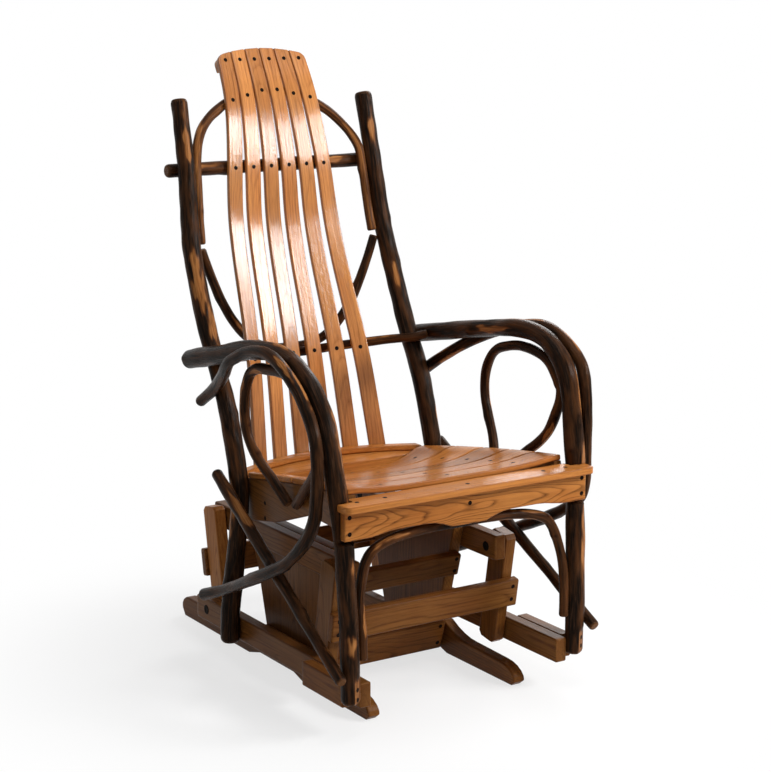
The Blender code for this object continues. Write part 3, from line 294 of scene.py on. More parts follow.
def cad_shape(node):
    """A CAD node's corners, with its doubles merged, and its triangles as rows of three corner numbers."""
    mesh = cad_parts[node].data
    mesh.calc_loop_triangles()
    place = np.empty(len(mesh.vertices) * 3, np.float32)
    mesh.vertices.foreach_get("co", place)
    faces = np.empty(len(mesh.loop_triangles) * 3, np.int32)
    mesh.loop_triangles.foreach_get("vertices", faces)
    corners, number = np.unique(np.round(place.reshape(-1, 3).astype(float), 6), axis=0, return_inverse=True)
    return corners, number.reshape(-1)[faces].reshape(-1, 3)


SHARP_ANGLE = math.radians(50.0)


def skin(name, rings, body, slot, material, nodes, **layers):
    """A closed surface from rings of points, one ring for each station: neighbouring rings are joined by
    four-sided faces, and the first and the last ring are each closed by one face. Rings with one more
    dimension are several such forms in one mesh. Layers are values or vectors that the points carry into
    the material."""
    count, rows, across = rings.reshape(-1, *rings.shape[-3:]).shape[:3]
    number = np.arange(count * rows * across).reshape(count, rows, across)
    ahead = np.roll(number, -1, axis=2)
    quads = np.stack([number[:, :-1], ahead[:, :-1], ahead[:, 1:], number[:, 1:]], axis=-1).reshape(-1, 4)
    corner = rings.reshape(-1, 3)[quads]
    first = np.cross(corner[:, 1] - corner[:, 0], corner[:, 2] - corner[:, 0])
    second = np.cross(corner[:, 2] - corner[:, 0], corner[:, 3] - corner[:, 0])
    middle = np.repeat(rings.reshape(count, -1, 3).mean(axis=1), len(quads) // count, axis=0)
    outward = np.einsum("fi,fi->", first + second, corner.mean(axis=1) - middle) > 0
    caps = np.concatenate([number[:, 0, ::-1], number[:, -1]])
    loops = np.concatenate([quads.ravel(), caps.ravel()])
    starts = np.append(np.arange(len(quads)) * 4, len(quads) * 4 + across * np.arange(len(caps)))
    mesh = bpy.data.meshes.new(name)
    mesh.vertices.add(count * rows * across)
    mesh.vertices.foreach_set("co", rings.astype(np.float32).ravel())
    mesh.loops.add(len(loops))
    mesh.loops.foreach_set("vertex_index", loops.astype(np.int32))
    mesh.polygons.add(len(starts))
    mesh.polygons.foreach_set("loop_start", starts.astype(np.int32))
    mesh.update(calc_edges=True)
    mesh.polygons.foreach_set("use_smooth", np.ones(len(starts), bool))
    if not outward:
        mesh.flip_normals()
    for key, values in layers.items():
        values = np.asarray(values, np.float32)
        kind, word = ("FLOAT_VECTOR", "vector") if values.ndim == rings.ndim else ("FLOAT", "value")
        mesh.attributes.new(key, kind, "POINT").data.foreach_set(word, values.ravel())
    mesh.set_sharp_from_angle(angle=SHARP_ANGLE)
    made = bpy.data.objects.new(name, mesh)
    scene.collection.objects.link(made)
    mesh.materials.append(material)
    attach(made, body)
    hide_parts(*nodes)


QUARTER_TURN = np.radians([0.0, 22.5, 45.0, 67.5, 90.0])


def rounded_ring(half_high, half_thin, rounding):
    """Points round rectangles, one rectangle for each station: four quarter circles, each with a point
    just before and just after it on the flat, so that only the corner shades round. Gives the places
    across the two half sizes, and 1 on the round of a corner or 0 on the flat."""
    least = np.minimum(half_high, half_thin)
    bend = np.minimum(rounding, 0.96 * least)
    rest = 0.30 * np.minimum(least - bend, bend)
    arc = np.stack([np.cos(QUARTER_TURN), np.sin(QUARTER_TURN)], axis=-1)[None] * bend[:, None, None]
    before = np.stack([bend, -rest], axis=-1)[:, None]
    after = np.stack([-rest, bend], axis=-1)[:, None]
    corner = np.concatenate([before, arc, after], axis=1)
    ring = []
    for quarter, (up, out) in enumerate([(1, 1), (-1, 1), (-1, -1), (1, -1)]):
        angle = quarter * math.pi / 2
        spin = np.array([[math.cos(angle), math.sin(angle)], [-math.sin(angle), math.cos(angle)]])
        centre = np.stack([up * (half_high - bend), out * (half_thin - bend)], axis=-1)
        ring.append(corner @ spin + centre[:, None])
    on_corner = np.tile([0.0, 0.5, 1.0, 1.0, 1.0, 0.5, 0.0], 4)
    return np.concatenate(ring, axis=1), np.broadcast_to(on_corner, (len(half_high), len(on_corner)))


def eased_stations(length, ease, spacing):
    """Places along a length, and how far the section is drawn in there: a quarter round at each end."""
    run = ease * (1.0 - np.cos(QUARTER_TURN))
    draw = ease * (1.0 - np.sin(QUARTER_TURN))
    steps = max(3, int((length - 2 * ease) / spacing))
    inner = np.linspace(ease, length - ease, steps + 1)[1:-1]
    return (np.concatenate([run, inner, length - run[::-1]]),
            np.concatenate([draw, np.zeros(len(inner)), draw[::-1]]))


def grain_layer(high, thin, run, seed):
    """Where each point lies in the plank's own tree: its place across, through and along the board, moved by
    a chance amount so that no two boards show the same figure."""
    chance = np.random.default_rng(seed)
    heart = np.array([chance.uniform(-0.03, 0.03), chance.uniform(0.03, 0.09), chance.uniform(0.0, 20.0)])
    return np.stack(np.broadcast_arrays(high, thin, run), axis=-1) + heart


def tone_layer(shape, seed, spread, mean=1.0):
    """One brightness for the whole board, chosen by its number around a mean."""
    return np.full(shape, mean * (1.0 + np.random.default_rng(seed + 500).uniform(-spread, spread)))


BOARD_STEP = 0.008
CORNER_STEP = 0.0002


def board(name, node, along, ease, body, slot, material, seed, spread=0.1, pale=1.0):
    """A sawn board with eased edges. It is thin the way that most of the CAD node's faces point. At each
    station along the grain, and just before and after each of the node's corners, the node is cut through,
    and the lowest and highest points of the cut give the two edges of the board there. Gives back its axes,
    the middle of its box and half its thickness."""
    corners, faces = cad_shape(node)
    sides = corners[faces]
    normal = np.cross(sides[:, 1] - sides[:, 0], sides[:, 2] - sides[:, 0])
    spans = np.einsum("fi,fj->ij", normal, normal / np.linalg.norm(normal, axis=1, keepdims=True))
    thin = np.linalg.eigh(spans)[1][:, -1]
    along = np.asarray(along, float) - np.dot(along, thin) * thin
    along /= np.linalg.norm(along)
    axes = np.stack([along, np.cross(thin, along), thin])
    local = corners @ axes.T
    low_end, high_end = local[:, 0].min(), local[:, 0].max()
    run, draw = eased_stations(high_end - low_end, ease, BOARD_STEP)
    steps = np.unique(np.round(local[:, 0] - low_end, 4))
    steps = steps[(steps > ease) & (steps < high_end - low_end - ease)]
    extra = np.concatenate([steps - CORNER_STEP, steps + CORNER_STEP])
    order = np.argsort(np.concatenate([run, extra]), kind="stable")
    run = np.concatenate([run, extra])[order]
    draw = np.concatenate([draw, np.zeros(len(extra))])[order]
    pairs = np.concatenate([faces[:, [0, 1]], faces[:, [1, 2]], faces[:, [2, 0]]])
    start, end = local[pairs[:, 0]], local[pairs[:, 1]]
    rising = np.abs(end[:, 0] - start[:, 0]) > 1e-6
    start, end = start[rising], end[rising]
    at = np.clip(run + low_end, low_end + 1e-5, high_end - 1e-5)
    share = (at[:, None] - start[None, :, 0]) / (end[None, :, 0] - start[None, :, 0])
    hit = (share >= 0.0) & (share <= 1.0)
    level = start[None, :, 1] + share * (end[None, :, 1] - start[None, :, 1])
    low = np.where(hit, level, np.inf).min(axis=1)
    high = np.where(hit, level, -np.inf).max(axis=1)
    half_high = (high - low) / 2
    half_thin = np.full(len(run), (local[:, 2].max() - local[:, 2].min()) / 2)
    draw_high = np.minimum(draw, 0.6 * half_high)
    draw_thin = np.minimum(draw, 0.6 * half_thin)
    ring, edge = rounded_ring(half_high - draw_high, half_thin - draw_thin, np.full(len(run), ease))
    place_high = ring[..., 0] + ((high + low) / 2)[:, None]
    place_thin = ring[..., 1] + (local[:, 2].max() + local[:, 2].min()) / 2
    place_run = np.broadcast_to((run + low_end)[:, None], place_high.shape)
    points = np.stack([place_run, place_high, place_thin], axis=-1) @ axes
    grain = grain_layer(place_high - place_high.mean(), ring[..., 1], place_run, seed)
    skin(name, points, body, slot, material, [node], grain=grain, edge=edge,
         tone=tone_layer(edge.shape, seed, spread, pale))
    return axes, (local.max(axis=0) + local.min(axis=0)) / 2 @ axes, half_thin[0]


X_WAY, Y_WAY, Z_WAY = np.eye(3)
# The base oak is about a third as light as the seat oak: painted shade for the shade under the seat, on every
# board that uses it.
painted_shade_oak = oak("oak_painted_shade", (0.190, 0.076, 0.0190), (0.058, 0.0195, 0.0045), 0.0030, 0.34, 0.30, 0.06)
SIDES = ("left", "right")
for number, side in enumerate(SIDES):
    board(f"{side}_runner_dressed", f"{side}_floor_runner", Y_WAY, 0.0035, "base", "oak_frame", painted_shade_oak,
          10 + number)

# Uprights, top rails and cross-boards: the stand that carries the swing arms, lapped and screwed together.
# The grain runs up the uprights and along the rails and boards. Screws and bolts are blackened steel.
def dark_steel(name):
    """Blackened steel: nearly black metal whose grey and roughness wander with fine noise."""
    material, add, join = blank_material(name)
    spot = add("TexCoord")
    speckle = add("TexNoise")
    speckle.inputs["Scale"].default_value = 900.0
    speckle.inputs["Detail"].default_value = 3.0
    join(spot.outputs["Object"], speckle.inputs["Vector"])
    grey = ramp(add, [(0.35, (0.0040, 0.0026, 0.0018)), (0.70, (0.014, 0.0085, 0.0055))])
    join(speckle.outputs["Fac"], grey.inputs["Fac"])
    rough = ramp(add, [(0.35, 0.62), (0.70, 0.38)])
    join(speckle.outputs["Fac"], rough.inputs["Fac"])
    skin_of = add("BsdfPrincipled")
    skin_of.inputs["Specular IOR Level"].default_value = 0.02
    join(grey.outputs["Color"], skin_of.inputs["Base Color"])
    join(rough.outputs["Color"], skin_of.inputs["Roughness"])
    out = add("OutputMaterial")
    join(skin_of.outputs[0], out.inputs["Surface"])
    return material


def lathe(spots, ways, profile, sides):
    """Rings of turned forms, one form for each spot: circles about its way with the profile's radii, each
    at the profile's height along the way."""
    spots, ways = np.asarray(spots, float), np.asarray(ways, float)
    radius, height = np.asarray(profile, float).T
    least = np.eye(3)[np.argmin(np.abs(ways), axis=1)]
    first = np.cross(ways, least)
    first /= np.linalg.norm(first, axis=1, keepdims=True)
    second = np.cross(ways, first)
    turn = np.linspace(0.0, 2 * math.pi, sides, endpoint=False)
    circle = np.cos(turn)[None, :, None] * first[:, None] + np.sin(turn)[None, :, None] * second[:, None]
    return (spots[:, None, None] + radius[None, :, None, None] * circle[:, None]
            + height[None, :, None, None] * ways[:, None, None])


SCREW_PROFILE = [(0.0003, 0.00005), (0.0016, 0.00006), (0.0022, 0.00028), (0.0038, 0.00036),
                 (0.0043, 0.00025), (0.0044, -0.0006), (0.0004, -0.0012)]
SCREW_SIDES = 16


def screws(name, places, body):
    """Sunk screw heads on one body. Places are pairs of a spot on a surface and the way it faces."""
    spots, ways = zip(*places)
    skin(name, lathe(spots, ways, SCREW_PROFILE, SCREW_SIDES), body, "dark_steel", steel, [])


def on_face(plane, facing, spots):
    """Spots on the flat of a board that faces a way. Each is given from the middle of the board's box: along
    the grain, and across it towards the rear or the top."""
    axes, middle, half_thin = plane
    way = axes[2] * np.sign(axes[2] @ facing)
    across = axes[1] * np.sign(axes[1] @ [0.0, 0.5, 1.0])
    return [(middle + run * axes[0] + rise * across + half_thin * way, way) for run, rise in spots]


BOLT_PROUD = 0.0012
BOLT_RIM = 0.0004
BOLT_SIDES = 28


def bolt(name, node, body):
    """A turned bolt on the CAD bolt's axis: a shank, and a head with a rounded rim and a dished middle that
    stands just proud of the board it is sunk in."""
    corners = cad_shape(node)[0]
    hub = (corners.max(axis=0) + corners.min(axis=0)) / 2
    reach = np.hypot(corners[:, 1] - hub[1], corners[:, 2] - hub[2])
    head = corners[reach > 0.5 * (reach.max() + reach[reach > 1e-4].min()), 0]
    way = X_WAY * np.sign(head.mean() - hub[0])
    front, under = np.abs(head - hub[0]).max() + BOLT_PROUD, np.abs(head - hub[0]).min()
    shank, wide, tip = reach[reach > 1e-4].min(), reach.max(), -np.abs(corners[:, 0] - hub[0]).max()
    profile = [(0.3 * shank, tip), (0.8 * shank, tip), (shank, tip + 0.2 * shank), (shank, under),
               (wide, under), (wide, front - 3 * BOLT_RIM), (wide - BOLT_RIM, front - BOLT_RIM),
               (wide - 3.5 * BOLT_RIM, front), (0.52 * wide, front), (0.44 * wide, front - 0.75 * BOLT_RIM),
               (0.05 * wide, front - BOLT_RIM)]
    skin(name, lathe([hub], [way], profile, BOLT_SIDES), body, "dark_steel", steel, [node])


steel = dark_steel("dark_steel")
CROSS_SCREW_INSET = 0.011
BOARD_SCREW_RISES = (0.015, -0.013)
CROSS_BOARDS = (("upper_front", -Y_WAY, BOARD_SCREW_RISES, 1.0),
                ("lower_front", -Y_WAY, (0.022, -0.018), 1.35),
                ("rear", Y_WAY, BOARD_SCREW_RISES, 1.0))
ENDS = (("front", -Y_WAY), ("rear", Y_WAY))
stand_screws = []
for number, side in enumerate(SIDES):
    board(f"{side}_upright_dressed", f"{side}_upright", Z_WAY, 0.0025, "base", "oak_frame", painted_shade_oak,
          20 + number)
    board(f"{side}_top_rail_dressed", f"{side}_top_rail", Y_WAY, 0.0035, "base", "oak_frame", painted_shade_oak,
          30 + number)
    for end, _ in ENDS:
        bolt(f"{end}_{side}_top_bolt_dressed", f"{end}_{side}_top_bolt", "base")
for number, (label, facing, rises, pale) in enumerate(CROSS_BOARDS):
    plane = board(f"{label}_crossboard_dressed", f"{label}_crossboard", X_WAY, 0.0030, "base", "oak_frame",
                  painted_shade_oak, 40 + number, pale=pale)
    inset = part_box(f"{label}_crossboard")[1].x - CROSS_SCREW_INSET
    stand_screws += on_face(plane, facing, [(run, rise) for run in (-inset, inset) for rise in rises])
screws("stand_screws", stand_screws, "base")

# Swing arms and their stretchers: four hanging oak arms in two pairs, each pair tied by a board.
# They hang from bolts in the top rails and carry the chair on bolts at their feet.
# The rear arms stand out of the seat's shadow, so their darkened base oak is made 2.4 times paler: painted
# light.
ARM_PAINTED_LIGHT = {"front": 1.0, "rear": 2.4}
STRETCHER_SCREW_RUN = 0.203
for pair, (end, facing) in enumerate(ENDS):
    for number, side in enumerate(SIDES):
        board(f"{end}_{side}_arm_dressed", f"{end}_{side}_swing_arm", Z_WAY, 0.0030, f"{end}_swing",
              "oak_frame", painted_shade_oak, 50 + number + 10 * pair, pale=ARM_PAINTED_LIGHT[end])
    plane = board(f"{end}_stretcher_dressed", f"{end}_stretcher", X_WAY, 0.0030, f"{end}_swing", "oak_frame",
                  painted_shade_oak, 70 + pair)
    spots = [(run, rise) for run in (-STRETCHER_SCREW_RUN, STRETCHER_SCREW_RUN) for rise in BOARD_SCREW_RISES]
    screws(f"{end}_stretcher_screws", on_face(plane, facing, spots), f"{end}_swing")

# Lower side rails and front blocks: they hang on the swing arms' lower bolts and carry the poles.
# They are the same darkened oak as the base, painted shade.
for number, side in enumerate(SIDES):
    board(f"{side}_rail_dressed", f"{side}_lower_rail", Y_WAY, 0.0030, "chair", "oak_frame", painted_shade_oak,
          80 + number)
    board(f"{side}_block_dressed", f"{side}_front_block", Y_WAY, 0.0030, "chair", "oak_frame", painted_shade_oak,
          90 + number)
    for end, _ in ENDS:
        bolt(f"{end}_{side}_low_bolt_dressed", f"{end}_{side}_low_bolt", "chair")


# Rear posts, arms, loops, braces, bows and bars: hickory saplings bent green with the bark left on.
# The bark is nearly black under varnish; knife cuts and rubbed places show tan wood, and the ends are whittled.
def hickory(name):
    """Varnished hickory bark: dark brown noise drawn out along the pole, warm mottling, tan wood where the
    bark is off, and cut ends with rings."""
    material, add, join = blank_material(name)
    grain = add("Attribute", attribute_name="grain")
    bare = add("Attribute", attribute_name="bare")
    cut = add("Attribute", attribute_name="cut")
    knot = add("Attribute", attribute_name="knot")
    furrow, mottle, broad, fibre, splinter = (
        noise(add, join, grain.outputs["Vector"], (fine, fine, drawn), detail)
        for fine, drawn, detail in ((380.0, 30.0, 5.0), (60.0, 11.0, 4.0), (22.0, 7.0, 2.0), (620.0, 12.0, 4.0),
                                    (190.0, 9.0, 3.0)))
    # bark: furrows over slow warm mottling
    dark = ramp(add, [(0.34, (0.0038, 0.0020, 0.0011)), (0.53, (0.0125, 0.0060, 0.0030)),
                      (0.74, (0.050, 0.0250, 0.0135))])
    join(furrow, dark.inputs["Fac"])
    rust = add("Mix", data_type="RGBA", blend_type="MIX")
    rust.inputs["B"].default_value = (0.085, 0.032, 0.011, 1.0)
    rusty = ramp(add, [(0.46, 0.0), (0.60, 0.45), (0.74, 0.90)])
    join(mottle, rusty.inputs["Fac"])
    join(rusty.outputs["Color"], rust.inputs["Factor"])
    join(dark.outputs["Color"], rust.inputs["A"])
    # bare wood: tan with brown fibres
    wood = ramp(add, [(0.28, (0.105, 0.036, 0.010)), (0.50, (0.26, 0.100, 0.029)),
                      (0.74, (0.42, 0.190, 0.062))])
    join(fibre, wood.inputs["Fac"])
    # the bark frays in splinters along the pole, and a red-brown skin of inner bark rims the bare wood
    ragged = add("Math", operation="MULTIPLY_ADD")
    ragged.inputs[1].default_value = 0.9
    join(splinter, ragged.inputs[0])
    join(bare.outputs["Fac"], ragged.inputs[2])
    skinned = ramp(add, [(0.50, 0.0), (0.90, 1.0)])
    join(ragged.outputs[0], skinned.inputs["Fac"])
    off = ramp(add, [(0.72, 0.0), (1.25, 1.0)])
    join(ragged.outputs[0], off.inputs["Fac"])
    inner = add("Mix", data_type="RGBA", blend_type="MIX")
    inner.inputs["B"].default_value = (0.100, 0.034, 0.0105, 1.0)
    join(skinned.outputs["Color"], inner.inputs["Factor"])
    join(rust.outputs["Result"], inner.inputs["A"])
    coloured = add("Mix", data_type="RGBA", blend_type="MIX")
    join(off.outputs["Color"], coloured.inputs["Factor"])
    join(inner.outputs["Result"], coloured.inputs["A"])
    join(wood.outputs["Color"], coloured.inputs["B"])
    # knots: a dark middle
    knotted = add("Mix", data_type="RGBA", blend_type="MULTIPLY")
    knotted.inputs["B"].default_value = (0.30, 0.20, 0.15, 1.0)
    join(knot.outputs["Fac"], knotted.inputs["Factor"])
    join(coloured.outputs["Result"], knotted.inputs["A"])
    # cut ends: brown wood with rings about the pith
    flat = add("VectorMath", operation="MULTIPLY")
    flat.inputs[1].default_value = (1.0, 1.0, 0.0)
    join(grain.outputs["Vector"], flat.inputs[0])
    away = add("VectorMath", operation="LENGTH")
    join(flat.outputs[0], away.inputs[0])
    rings = add("Math", operation="MULTIPLY_ADD")
    rings.inputs[1].default_value = 420.0
    join(away.outputs["Value"], rings.inputs[0])
    join(broad, rings.inputs[2])
    ring = add("Math", operation="FRACT")
    join(rings.outputs[0], ring.inputs[0])
    end_wood = ramp(add, [(0.0, (0.060, 0.024, 0.009)), (0.6, (0.155, 0.066, 0.024)),
                          (1.0, (0.10, 0.040, 0.014))])
    join(ring.outputs[0], end_wood.inputs["Fac"])
    ended = add("Mix", data_type="RGBA", blend_type="MIX")
    join(cut.outputs["Fac"], ended.inputs["Factor"])
    join(knotted.outputs["Result"], ended.inputs["A"])
    join(end_wood.outputs["Color"], ended.inputs["B"])
    # varnish over bark and wood
    rough = ramp(add, [(0.35, 0.36), (0.70, 0.18)])
    join(furrow, rough.inputs["Fac"])
    depth = add("Math", operation="MULTIPLY_ADD")
    depth.inputs[1].default_value = 0.5
    join(fibre, depth.inputs[0])
    join(furrow, depth.inputs[2])
    bump = add("Bump")
    bump.inputs["Strength"].default_value = 0.75
    bump.inputs["Distance"].default_value = 0.0014
    join(depth.outputs[0], bump.inputs["Height"])
    skin_of = add("BsdfPrincipled")
    skin_of.inputs["Specular IOR Level"].default_value = 0.035
    join(ended.outputs["Result"], skin_of.inputs["Base Color"])
    join(rough.outputs["Color"], skin_of.inputs["Roughness"])
    join(bump.outputs["Normal"], skin_of.inputs["Normal"])
    out = add("OutputMaterial")
    join(skin_of.outputs[0], out.inputs["Surface"])
    return material


def cross_cuts(faces, count, first):
    """Rows of corners along a swept CAD node: each row is what the row before it touches and no earlier row
    holds, for as long as the rows stay as long as the first."""
    linked = np.zeros((count, count), bool)
    linked[faces, np.roll(faces, 1, axis=1)] = True
    linked |= linked.T
    passed = np.zeros(count, bool)
    rows = [np.asarray(first)]
    while True:
        passed[rows[-1]] = True
        touched = np.flatnonzero(linked[rows[-1]].any(axis=0) & ~passed)
        if len(touched) != len(first):
            return rows
        rows.append(touched)


POLE_GIRTH = 0.020
POLE_CORNERS = 8
SAME_FACING = 0.998
SAME_PLANE = 3e-4


def pole_line(node):
    """Middle points and radii along a CAD pole, from its lower end. Its ends are the flat eight-cornered faces
    whose corners lie on a circle; from each end the rings are read as far as they stay whole, so a notched
    pole is bridged."""
    corners, faces = cad_shape(node)
    sides = corners[faces]
    normal = np.cross(sides[:, 1] - sides[:, 0], sides[:, 2] - sides[:, 0])
    normal /= np.linalg.norm(normal, axis=1, keepdims=True)
    depth = np.einsum("fi,fi->f", normal, sides[:, 0])
    spot = sides.mean(axis=1)
    near = np.linalg.norm(spot[:, None] - spot[None], axis=2) < 2.0 * POLE_GIRTH
    level = near & (normal @ normal.T > SAME_FACING) & (np.abs(depth[:, None] - depth[None]) < SAME_PLANE)
    caps = []
    for group in np.unique(level[level.sum(axis=1) >= POLE_CORNERS - 2], axis=0):
        rim = np.unique(faces[group])
        reach = np.linalg.norm(corners[rim] - corners[rim].mean(axis=0), axis=1)
        known = any(np.array_equal(rim, cap) for cap in caps)
        if len(rim) == POLE_CORNERS and np.ptp(reach) < 0.02 * reach.mean() and not known:
            caps.append(rim)
    rows = cross_cuts(faces, len(corners), caps[0])
    if sum(map(len, rows)) < len(corners):
        rows += cross_cuts(faces, len(corners), caps[1])[::-1]
    rings = corners[np.stack(rows)]
    middle = rings.mean(axis=1)
    if middle[0, 2] > middle[-1, 2]:
        rings, middle = rings[::-1], middle[::-1]
    return middle, np.linalg.norm(rings - middle[:, None], axis=2).mean(axis=1)


def curve_through(points, values, spacing):
    """A smooth curve through points at even steps, with values carried along: cubic pieces whose slopes at
    each point are the mean of the chords that meet there."""
    chord = np.linalg.norm(np.diff(points, axis=0), axis=1)
    knots = np.concatenate([[0.0], np.cumsum(chord)])
    both = np.column_stack([points, values])
    slope = np.gradient(both, knots, axis=0)
    at = np.linspace(0.0, knots[-1], max(2, int(knots[-1] / spacing)) + 1)
    piece = np.clip(np.searchsorted(knots, at, side="right") - 1, 0, len(chord) - 1)
    width = chord[piece][:, None]
    t = (at - knots[piece])[:, None] / width
    made = ((2 * t**3 - 3 * t**2 + 1) * both[piece] + (t**3 - 2 * t**2 + t) * width * slope[piece]
            + (3 * t**2 - 2 * t**3) * both[piece + 1] + (t**3 - t**2) * width * slope[piece + 1])
    return at, made[:, :3], made[:, 3:]


def ripple(place, chance, shortest, longest, count):
    """Soft uneven swelling: the mean of sine waves with chance directions, lengths and phases."""
    way = chance.normal(size=(3, count))
    way /= np.linalg.norm(way, axis=0) * chance.uniform(shortest, longest, count)
    return np.sin(2 * math.pi * (place @ way) + chance.uniform(0.0, 6.3, count)).mean(axis=-1)


POLE_STEP = 0.003
POLE_SIDES = 40
POLE_SAMPLE = 0.001


def whittled_stations(length, whittle):
    """Places along a pole, the share of its radius there and how far it is cut end there: at each end a flat
    middle, and a rim that rounds over the length of the whittling."""
    rim = np.radians(np.array([0.0, 25.0, 50.0, 75.0, 90.0]))
    end_run = np.concatenate([np.zeros(4), whittle * (1.0 - np.cos(rim))])
    end_share = np.concatenate([[0.03, 0.25, 0.45, 0.60], 0.68 + 0.32 * np.sin(rim)])
    end_cut = np.array([1.0, 1.0, 1.0, 1.0, 1.0, 0.6, 0.2, 0.0, 0.0])
    steps = int((length - 2 * whittle) / POLE_STEP)
    inner = np.linspace(whittle, length - whittle, steps + 1)[1:-1]
    return (np.concatenate([end_run, inner, length - end_run[::-1]]),
            np.concatenate([end_share, np.ones(len(inner)), end_share[::-1]]),
            np.concatenate([end_cut, np.zeros(len(inner)), end_cut[::-1]]))


WHITTLE_SHARE = 0.55
SWELL = 0.10
KNOT_SPACING = 0.16
SHAVED_SHARE = 0.955
FLAT_FADE = 0.012
FLAT_BARE = 0.40


def bark_pole(name, node, seed, rubbed, thin_bark=0.0, patches=(), flats=(), notch=None):
    """A bent sapling. Rings of points stand square to a smooth line through the CAD pole's rings. Their
    radius is the pole's own, swollen unevenly, lifted at knots, and shaved flat where the bark is off.
    Rubbed is the number of chance bare places in a metre, and thin_bark is how far the inner bark shows
    everywhere. A patch is (share of the length, way it faces, length, breadth). A flat is (lowest, highest,
    way it faces, share of the radius left). A notch is (lowest, highest, y of its face)."""
    chance = np.random.default_rng(seed)
    middle, radius = pole_line(node)
    radius[0], radius[-1] = radius[1], radius[-2]
    at, line, girth = curve_through(middle, radius, POLE_SAMPLE)
    length = at[-1]
    run, share, is_end = whittled_stations(length, WHITTLE_SHARE * radius.mean())
    centre = np.stack([np.interp(run, at, line[:, k]) for k in range(3)], axis=-1)
    girth = np.interp(run, at, girth[:, 0])
    way = np.stack([np.interp(run, at, np.gradient(line[:, k])) for k in range(3)], axis=-1)
    way /= np.linalg.norm(way, axis=1, keepdims=True)
    spread = np.cov((line - line.mean(axis=0)).T)
    level = np.linalg.eigh(spread + 1e-6 * np.diag([3.0, 2.0, 1.0]))[1][:, 0]
    out_way = np.cross(way, level)
    out_way /= np.linalg.norm(out_way, axis=1, keepdims=True)
    side_way = np.cross(out_way, way)
    turn = np.linspace(0.0, 2 * math.pi, POLE_SIDES, endpoint=False)
    facing = np.cos(turn)[None, :, None] * out_way[:, None] + np.sin(turn)[None, :, None] * side_way[:, None]
    shape = facing.shape[:2]
    stem = np.stack([girth[:, None] * np.cos(turn), girth[:, None] * np.sin(turn),
                     np.broadcast_to(run[:, None], shape)], axis=-1)
    swell = ripple(stem * [0.0, 0.0, 1.0], chance, 0.05, 0.30, 5)
    swell = swell + ripple(stem * [1.0, 1.0, 0.35], chance, 0.012, 0.05, 12)
    reach = girth[:, None] * (1.0 + SWELL * swell)
    knot = np.zeros(shape)
    for _ in range(max(1, int(length / KNOT_SPACING))):
        place = chance.uniform(0.06, 0.94) * length
        aim = chance.uniform(0.0, 2 * math.pi)
        off = np.hypot(run[:, None] - place, girth[:, None] * np.angle(np.exp(1j * (turn - aim))))
        size = chance.uniform(0.004, 0.008)
        knot = np.maximum(knot, np.exp(-((off / (0.6 * size)) ** 2)))
        reach = reach + chance.uniform(0.0008, 0.0022) * np.exp(-((off / (2.0 * size)) ** 2))
    bare = np.full(shape, thin_bark)
    random_patches = [(chance.uniform(0.03, 0.97), chance.normal(size=3), chance.uniform(0.06, 0.20),
                       chance.uniform(0.9, 1.8) * radius.mean()) for _ in range(int(rubbed * length))]
    ragged = ripple(stem * [1.0, 1.0, 0.30], chance, 0.006, 0.022, 14)
    for place, aim, long, broad in list(patches) + random_patches:
        row = np.argmin(np.abs(run - place * length))
        aim = np.asarray(aim, float) - np.dot(aim, way[row]) * way[row]
        aim /= np.linalg.norm(aim)
        toward = np.clip(facing @ aim, -1.0, 1.0)
        lengthwise = np.abs(run[:, None] - place * length) / (long / 2)
        off = lengthwise ** 1.4 + (girth[:, None] * np.arccos(toward) / (broad / 2)) ** 2
        shaved = np.clip(0.8 * (1.0 - off) + ragged, 0.0, 1.0)
        bare = np.maximum(bare, shaved)
        limit = SHAVED_SHARE * girth[:, None] / np.maximum(toward, 0.3)
        reach = np.where(shaved > 0.0, reach + (np.minimum(reach, limit) - reach) * shaved, reach)
    for low, high, aim, left in flats:
        depth_in = np.minimum(centre[:, 2] - low, high - centre[:, 2])
        inside = np.clip(depth_in / FLAT_FADE + 0.5, 0.0, 1.0)[:, None]
        limit = left * girth[:, None] / np.maximum(facing @ np.asarray(aim, float), 0.2)
        bare = np.maximum(bare, FLAT_BARE * inside * (limit < reach))
        reach = reach + (np.minimum(reach, limit) - reach) * inside
    points = centre[:, None] + facing * (reach * share[:, None])[..., None]
    if notch is not None:
        low, high, face = notch
        inside = (points[..., 2] > low) & (points[..., 2] < high)
        points[..., 1] = np.where(inside, np.maximum(points[..., 1], face), points[..., 1])
    grain = stem * np.stack([share, share, np.ones(len(share))], axis=-1)[:, None] + [0.0, 0.0, seed * 1.7]
    cut = np.broadcast_to(is_end[:, None], shape)
    skin(name, points, "chair", "hickory_bark", bark, [node], grain=grain, bare=bare, cut=cut, knot=knot)


bark = hickory("hickory_bark")
THIN_BARK = {"upper_crossbar": 0.14, "lower_crossbar": 0.14, "top_bow": 0.30, "lower_bow": 0.10,
             "front_bow": 0.14}
BAR_PATCHES = {
    "top_bow": [(0.22, (-0.6, -1.0, 0.3), 0.20, 0.014), (0.78, (-0.6, -1.0, 0.3), 0.20, 0.014)],
    "front_bow": [(0.30, (0.2, -1.0, 0.6), 0.12, 0.012), (0.08, (0.5, -1.0, 0.0), 0.10, 0.012)],
}
LEG_FLAT_WAY = np.array([0.482, -0.876, 0.0])
LEG_FLAT_SHARE = 0.80
LEG_FLAT_TOP = 0.120
LEG_SCREWS = {"left": (0.100, 0.081), "right": (0.104, 0.087)}
LEG_PATCHES = {
    "left": [(0.105, (-0.35, -1.0, 0.0), 0.055, 0.026), (0.235, (0.3, -1.0, 0.0), 0.05, 0.014)],
    "right": [(0.19, (0.45, -1.0, 0.0), 0.22, 0.018)],
}
NOTCH_GAP = 0.0006
apron_low, apron_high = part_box("front_apron")
nosing_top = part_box("seat_nosing")[1].z
leg_notch = (apron_low.z - NOTCH_GAP, nosing_top + NOTCH_GAP, apron_high.y + NOTCH_GAP)
